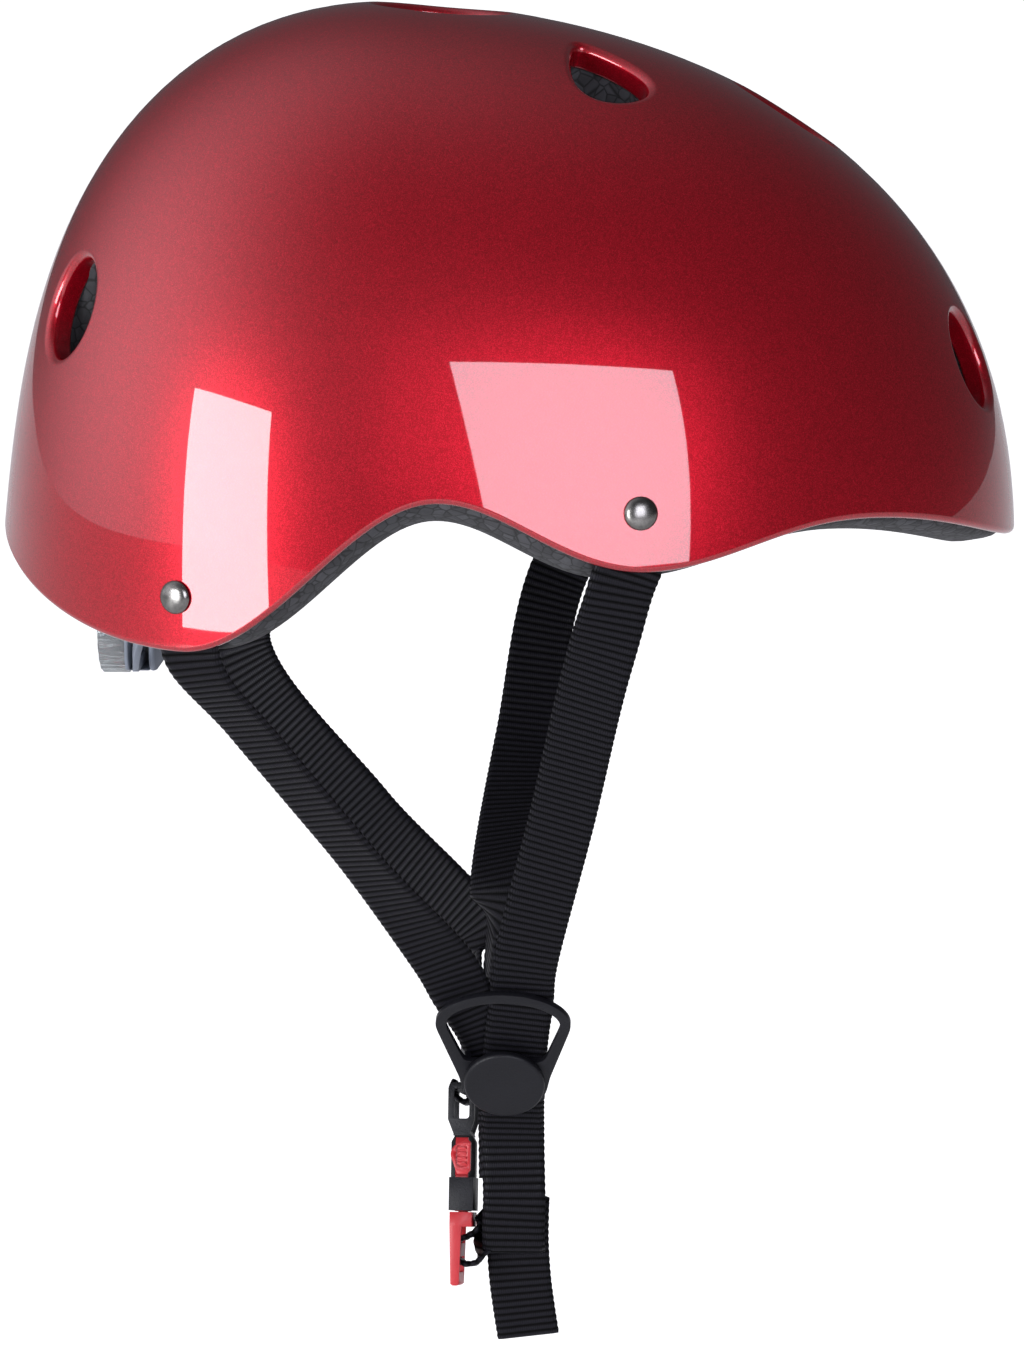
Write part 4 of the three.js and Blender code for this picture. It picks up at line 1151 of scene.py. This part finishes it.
def make_dividers():
    for name in SIDES:
        divider = Divider(name)
        place = axes_matrix(divider.origin, np.cross(divider.v, divider.n), divider.v, divider.n)
        back = -CHANNEL_DEPTH - DIVIDER_PLATE
        half, channel = CAP_RADIUS - 0.2, WEB_WIDTH / 2 + 0.5
        plate = prism_mesh(divider_outline(0), [divider_outline(2.8, 6.4, 10.6)], 0, DIVIDER_PLATE, place)
        block = prism_mesh(box_outline(-half, half, -7, 6), [], back, 1, place)
        way = prism_mesh(box_outline(-channel, channel, -9, 10), [], -CHANNEL_DEPTH, 0, place)
        body = combine(f"{name}_divider_body", plate, [("UNION", block), ("DIFFERENCE", way)])
        soften(body, 0.6)
        dress(body, materials["black"], f"{name}_divider", [f"{name}_divider_frame"])
        rise = DIVIDER_PLATE + 0.3
        rim = arc((CAP_RADIUS - 0.9, rise + 1.3), 0.9, 0, 90, 8)
        profile = [(0, rise), (CAP_RADIUS - 0.3, rise), (CAP_RADIUS, rise + 0.3), *rim,
                   (CAP_RADIUS * 0.7, rise + 2.3), (CAP_RADIUS * 0.35, rise + 2.4), (0, rise + 2.42)]
        cap = show(f"{name}_divider_disc", lathe_mesh(profile, place, 96))
        cap.data.set_sharp_from_angle(angle=math.radians(50))
        dress(cap, materials["black"], f"{name}_divider", [f"{name}_divider_cap"])


BRIDGE_HALF = 4.4
HALF_WIDTH_BUCKLE, HALF_THICK, BODY_TOP, MOUTH, MALE_END = 12.4, 3.3, -276.7, -298.4, -318.7


def side_prism(outline, y0, y1):
    """A buckle part drawn from the side: (x from the buckle's middle, z) pairs, run along Y."""
    place = BUCKLE_PLACE @ Matrix(((1, 0, 0, BUCKLE_X), (0, 0, -1, 0), (0, 1, 0, 0), (0, 0, 0, 1)))
    return prism_mesh(outline, [], -y1, -y0, place)


def rounded_box(x0, x1, z0, z1, radius):
    corners = [((x1 - radius, z1 - radius), 0), ((x0 + radius, z1 - radius), 90),
               ((x0 + radius, z0 + radius), 180), ((x1 - radius, z0 + radius), 270)]
    return [p for centre, start in corners for p in arc(centre, radius, start, start + 90, 5)]


def make_female():
    half, thick = HALF_WIDTH_BUCKLE, HALF_THICK
    body = side_prism([(-thick, MOUTH), (thick, MOUTH), (thick, BODY_TOP - 3), (thick - 1.6, BODY_TOP),
                       (-thick + 1.6, BODY_TOP), (-thick, BODY_TOP - 3)], -half, half)
    loop = [(1.7, BODY_TOP - 2), (3.2, BODY_TOP + 2.6), *arc((1.4, BUCKLE_TOP - 1.8), 1.8, 0, 90, 6),
            *arc((-2.1, BUCKLE_TOP - 1.8), 1.8, 90, 180, 6), (-3.9, BODY_TOP + 3), (-1.9, BODY_TOP - 2)]
    window = rounded_box(-2.3, 1.9, BODY_TOP + 3.2, BUCKLE_TOP - 1.7, 0.9)
    bar = rounded_box(-1.5, 1.5, BUCKLE_TOP - 3, BUCKLE_TOP, 1.2)
    changes = []
    for y0, y1 in ((-half, -half + 2.4), (half - 2.4, half)):
        changes.append(("UNION", side_prism(loop, y0, y1)))
        changes.append(("DIFFERENCE", side_prism(window, y0 - 1, y1 + 1)))
    changes.append(("UNION", side_prism(bar, 1 - half, half - 1)))
    wall = 1.3
    cavity = box_outline(wall - thick, thick - wall, MOUTH - 1, BODY_TOP - 1.4)
    changes.append(("DIFFERENCE", side_prism(cavity, 1.2 - half, half - 1.2)))
    opening = rounded_box(-thick - 1, thick + 1, MOUTH + 9, BODY_TOP - 1.4, 0.8)
    for y0, y1 in ((-half - 1, -BRIDGE_HALF), (BRIDGE_HALF, half + 1)):
        changes.append(("DIFFERENCE", side_prism(opening, y0, y1)))
    piece = combine("buckle_socket", body, changes)
    soften(piece, 0.45)
    dress(piece, materials["grain"], "helmet", ["buckle_female"])


# Where the ladder's middle bar is thinned, so that the webbing passes inside the rails.
BAR_RECESS = (-311, -307)


def make_male():
    half, thick = HALF_WIDTH_BUCKLE, HALF_THICK
    base = side_prism(box_outline(-thick + 0.3, thick - 0.3, MOUTH - 4.4, MOUTH - 0.4), -half, half)
    back = 0.3 - thick
    wedge = [(back, MOUTH - 4.3), (back + 0.5, MALE_END + 0.4), (back + 1.1, MALE_END),
             (back + 2.2, MALE_END), (back + 2.8, MALE_END + 0.5), (back + 3.2, MOUTH - 4.3)]

    def slot(reach, z0, z1):
        return side_prism(box_outline(back - 1, back + reach, z0, z1), 2.4 - half, half - 2.4)

    def notch(y0, y1):
        return side_prism(box_outline(-3.4, 3.4, MOUTH - 1.6, MOUTH), y0, y1)

    tongue = side_prism([(-1.2, MOUTH - 1), (1.2, MOUTH - 1), (1.2, MOUTH + 16.4), (0.5, MOUTH + 17),
                         (-0.5, MOUTH + 17), (-1.2, MOUTH + 16.4)], -2.8, 2.8)
    piece = combine("buckle_plug", base, [
        ("DIFFERENCE", notch(7, 10.6)), ("DIFFERENCE", notch(-10.6, -7)), ("UNION", tongue),
        ("UNION", side_prism(wedge, -half, half)), ("DIFFERENCE", slot(4.2, -307.3, MOUTH - 4.4)),
        ("DIFFERENCE", slot(4.2, -315.2, -310.8)), ("DIFFERENCE", slot(2.3, *BAR_RECESS))])
    soften(piece, 0.45)
    dress(piece, materials["red"], "male_half", ["buckle_male"])


# An arm's outline: distances out from the buckle's middle and down from its mouth.
ARM = [(7.4, 0.2), (9.9, 0.2), (10.3, -9.4), (11.8, -11.4), (12.2, -14.4), (11.8, -17.4),
       (10.2, -19.8), (8.2, -19.8), (7.8, -9)]


def make_arms():
    """Each sprung arm, with finger grips across its outer face."""
    for name, side in SIDES.items():
        axes = Matrix(((0, 0, 1, BUCKLE_X), (side, 0, 0, 0), (0, 1, 0, MOUTH), (0, 0, 0, 1)))
        place = BUCKLE_PLACE @ axes
        outline = [(y, -down) for y, down in ARM]
        base = prism_mesh(outline, [], -1.7, 1.7, place)
        near, far = sorted((side * 8.6, side * 12.1))
        tip = side_prism([(-1.2, MOUTH + 9.8), (1.6, MOUTH + 9.8), (2.4, MOUTH + 11), (2.4, MOUTH + 18.4),
                          (1.4, MOUTH + 19.6), *arc((0.2, MOUTH + 15.2), 3.2, 115, 215, 8)], near, far)
        near, far = sorted((side * 11.5, side * 13))
        hollow = side_prism(rounded_box(-1.6, 1.6, MOUTH + 11.8, MOUTH + 17.8, 1.2), near, far)
        changes = [("UNION", tip), ("DIFFERENCE", hollow)]
        near, far = sorted((side * 11.2, side * 11.9))
        for k in range(4):
            z = MOUTH + 12.6 + 1.35 * k
            ridge = side_prism(box_outline(-1.2, 1.2, z, z + 0.6), near, far)
            changes.append(("UNION", ridge))
        piece = combine(f"buckle_spring_arm_{name}", base, changes)
        mesh = bmesh.new()
        mesh.from_mesh(piece.data)
        bmesh.ops.recalc_face_normals(mesh, faces=mesh.faces)
        mesh.to_mesh(piece.data)
        mesh.free()
        soften(piece, 0.3, segments=2)
        dress(piece, materials["red"], f"arm_{name}", [f"buckle_arm_{name}"])


def make_adjuster():
    """The nape adjuster's own shapes, with moulded edges."""
    for side in SIDES:
        soft_copy(f"nape_band_{side}", 0.35, materials["grey"], f"band_{side}")
        soft_copy(f"band_anchor_{side}", 0.4, materials["grey"], "helmet")
    soft_copy("dial_housing", 0.35, materials["grey"], "cradle")
    soft_copy("dial_cover", 0.6, materials["grey"], "cradle")
    soft_copy("dial_pinion", 0.2, materials["grey"], "dial")
    soft_copy("dial_knob", 0.4, materials["clear"], "dial")
    for end in RIVETS:
        for side in SIDES:
            node = f"rivet_washer_{end}_{side}"
            soft_copy(node, 0.2, materials["steel"], "helmet")


# ---------------------------------------------------------------- comfort pads

PADS = ["crown_pad", "front_pad", "side_pad_right", "side_pad_left", "rear_pad_right", "rear_pad_left"]
PAD_SWELL = 1.6


def make_pad(node):
    """A felt-covered cushion, blown up as cloth from a slightly smaller shape."""
    piece = show(f"{node}_cushion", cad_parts[node].data.copy())
    mesh = piece.data
    points = np.array([v.co for v in mesh.vertices])
    middle = points.mean(0)
    shrunk = middle + (points - middle) * 0.95
    mesh.vertices.foreach_set("co", shrunk.ravel())
    modifier = piece.modifiers.new("remesh", "REMESH")
    modifier.mode = "VOXEL"
    modifier.voxel_size = 1.7 * MM
    apply_modifiers(piece)
    before = np.array([v.co for v in piece.data.vertices])
    after = blown_up(piece, before)
    piece.data.vertices.foreach_set("co", after.ravel())
    smoothing = piece.modifiers.new("smooth", "SMOOTH")
    smoothing.factor = 0.5
    smoothing.iterations = 3
    fine = piece.modifiers.new("fine", "SUBSURF")
    fine.levels = fine.render_levels = 1
    apply_modifiers(piece)
    piece.data.polygons.foreach_set("use_smooth", [True] * len(piece.data.polygons))
    dress(piece, materials["felt"], "helmet", [node])


def blown_up(piece, before):
    scene = bpy.context.scene
    cloth = piece.modifiers.new("cloth", "CLOTH")
    settings = cloth.settings
    settings.use_pressure = True
    settings.uniform_pressure_force = 4
    settings.effector_weights.gravity = 0
    cloth.point_cache.frame_start, cloth.point_cache.frame_end = 1, 12
    for number in range(1, 13):
        scene.frame_set(number)
    solved = piece.evaluated_get(bpy.context.evaluated_depsgraph_get())
    after = np.array([v.co for v in solved.data.vertices])
    piece.modifiers.remove(cloth)
    scene.frame_set(1)
    move = after - before
    size = np.linalg.norm(move, axis=1, keepdims=True)
    return before + move * np.minimum(1, PAD_SWELL * MM / np.maximum(size, 1e-9))


materials = {
    "shell": shell_material(),
    "foam": foam_material(),
    "felt": felt_material(),
    "webbing": webbing_material(),
    "black": plastic_material("black_plastic", (0.006, 0.006, 0.008), 0.42, gloss=0.22),
    "grain": plastic_material("black_grained_plastic", (0.006, 0.006, 0.008), 0.5, grain=0.3,
                              grain_scale=2200, gloss=0.3),
    "red": plastic_material("buckle_red", (0.42, 0.022, 0.028), 0.38, tint=0.08, gloss=0.4),
    "grey": plastic_material("nape_grey", (0.16, 0.18, 0.22), 0.45),
    "clear": clear_material(),
    "steel": steel_material(),
}
make_camera()
make_studio()
make_shell(materials["shell"])
make_liner(materials["foam"])
make_webbings()
make_rivets()
make_dividers()
make_female()
make_male()
make_arms()
make_adjuster()
for pad in PADS:
    make_pad(pad)
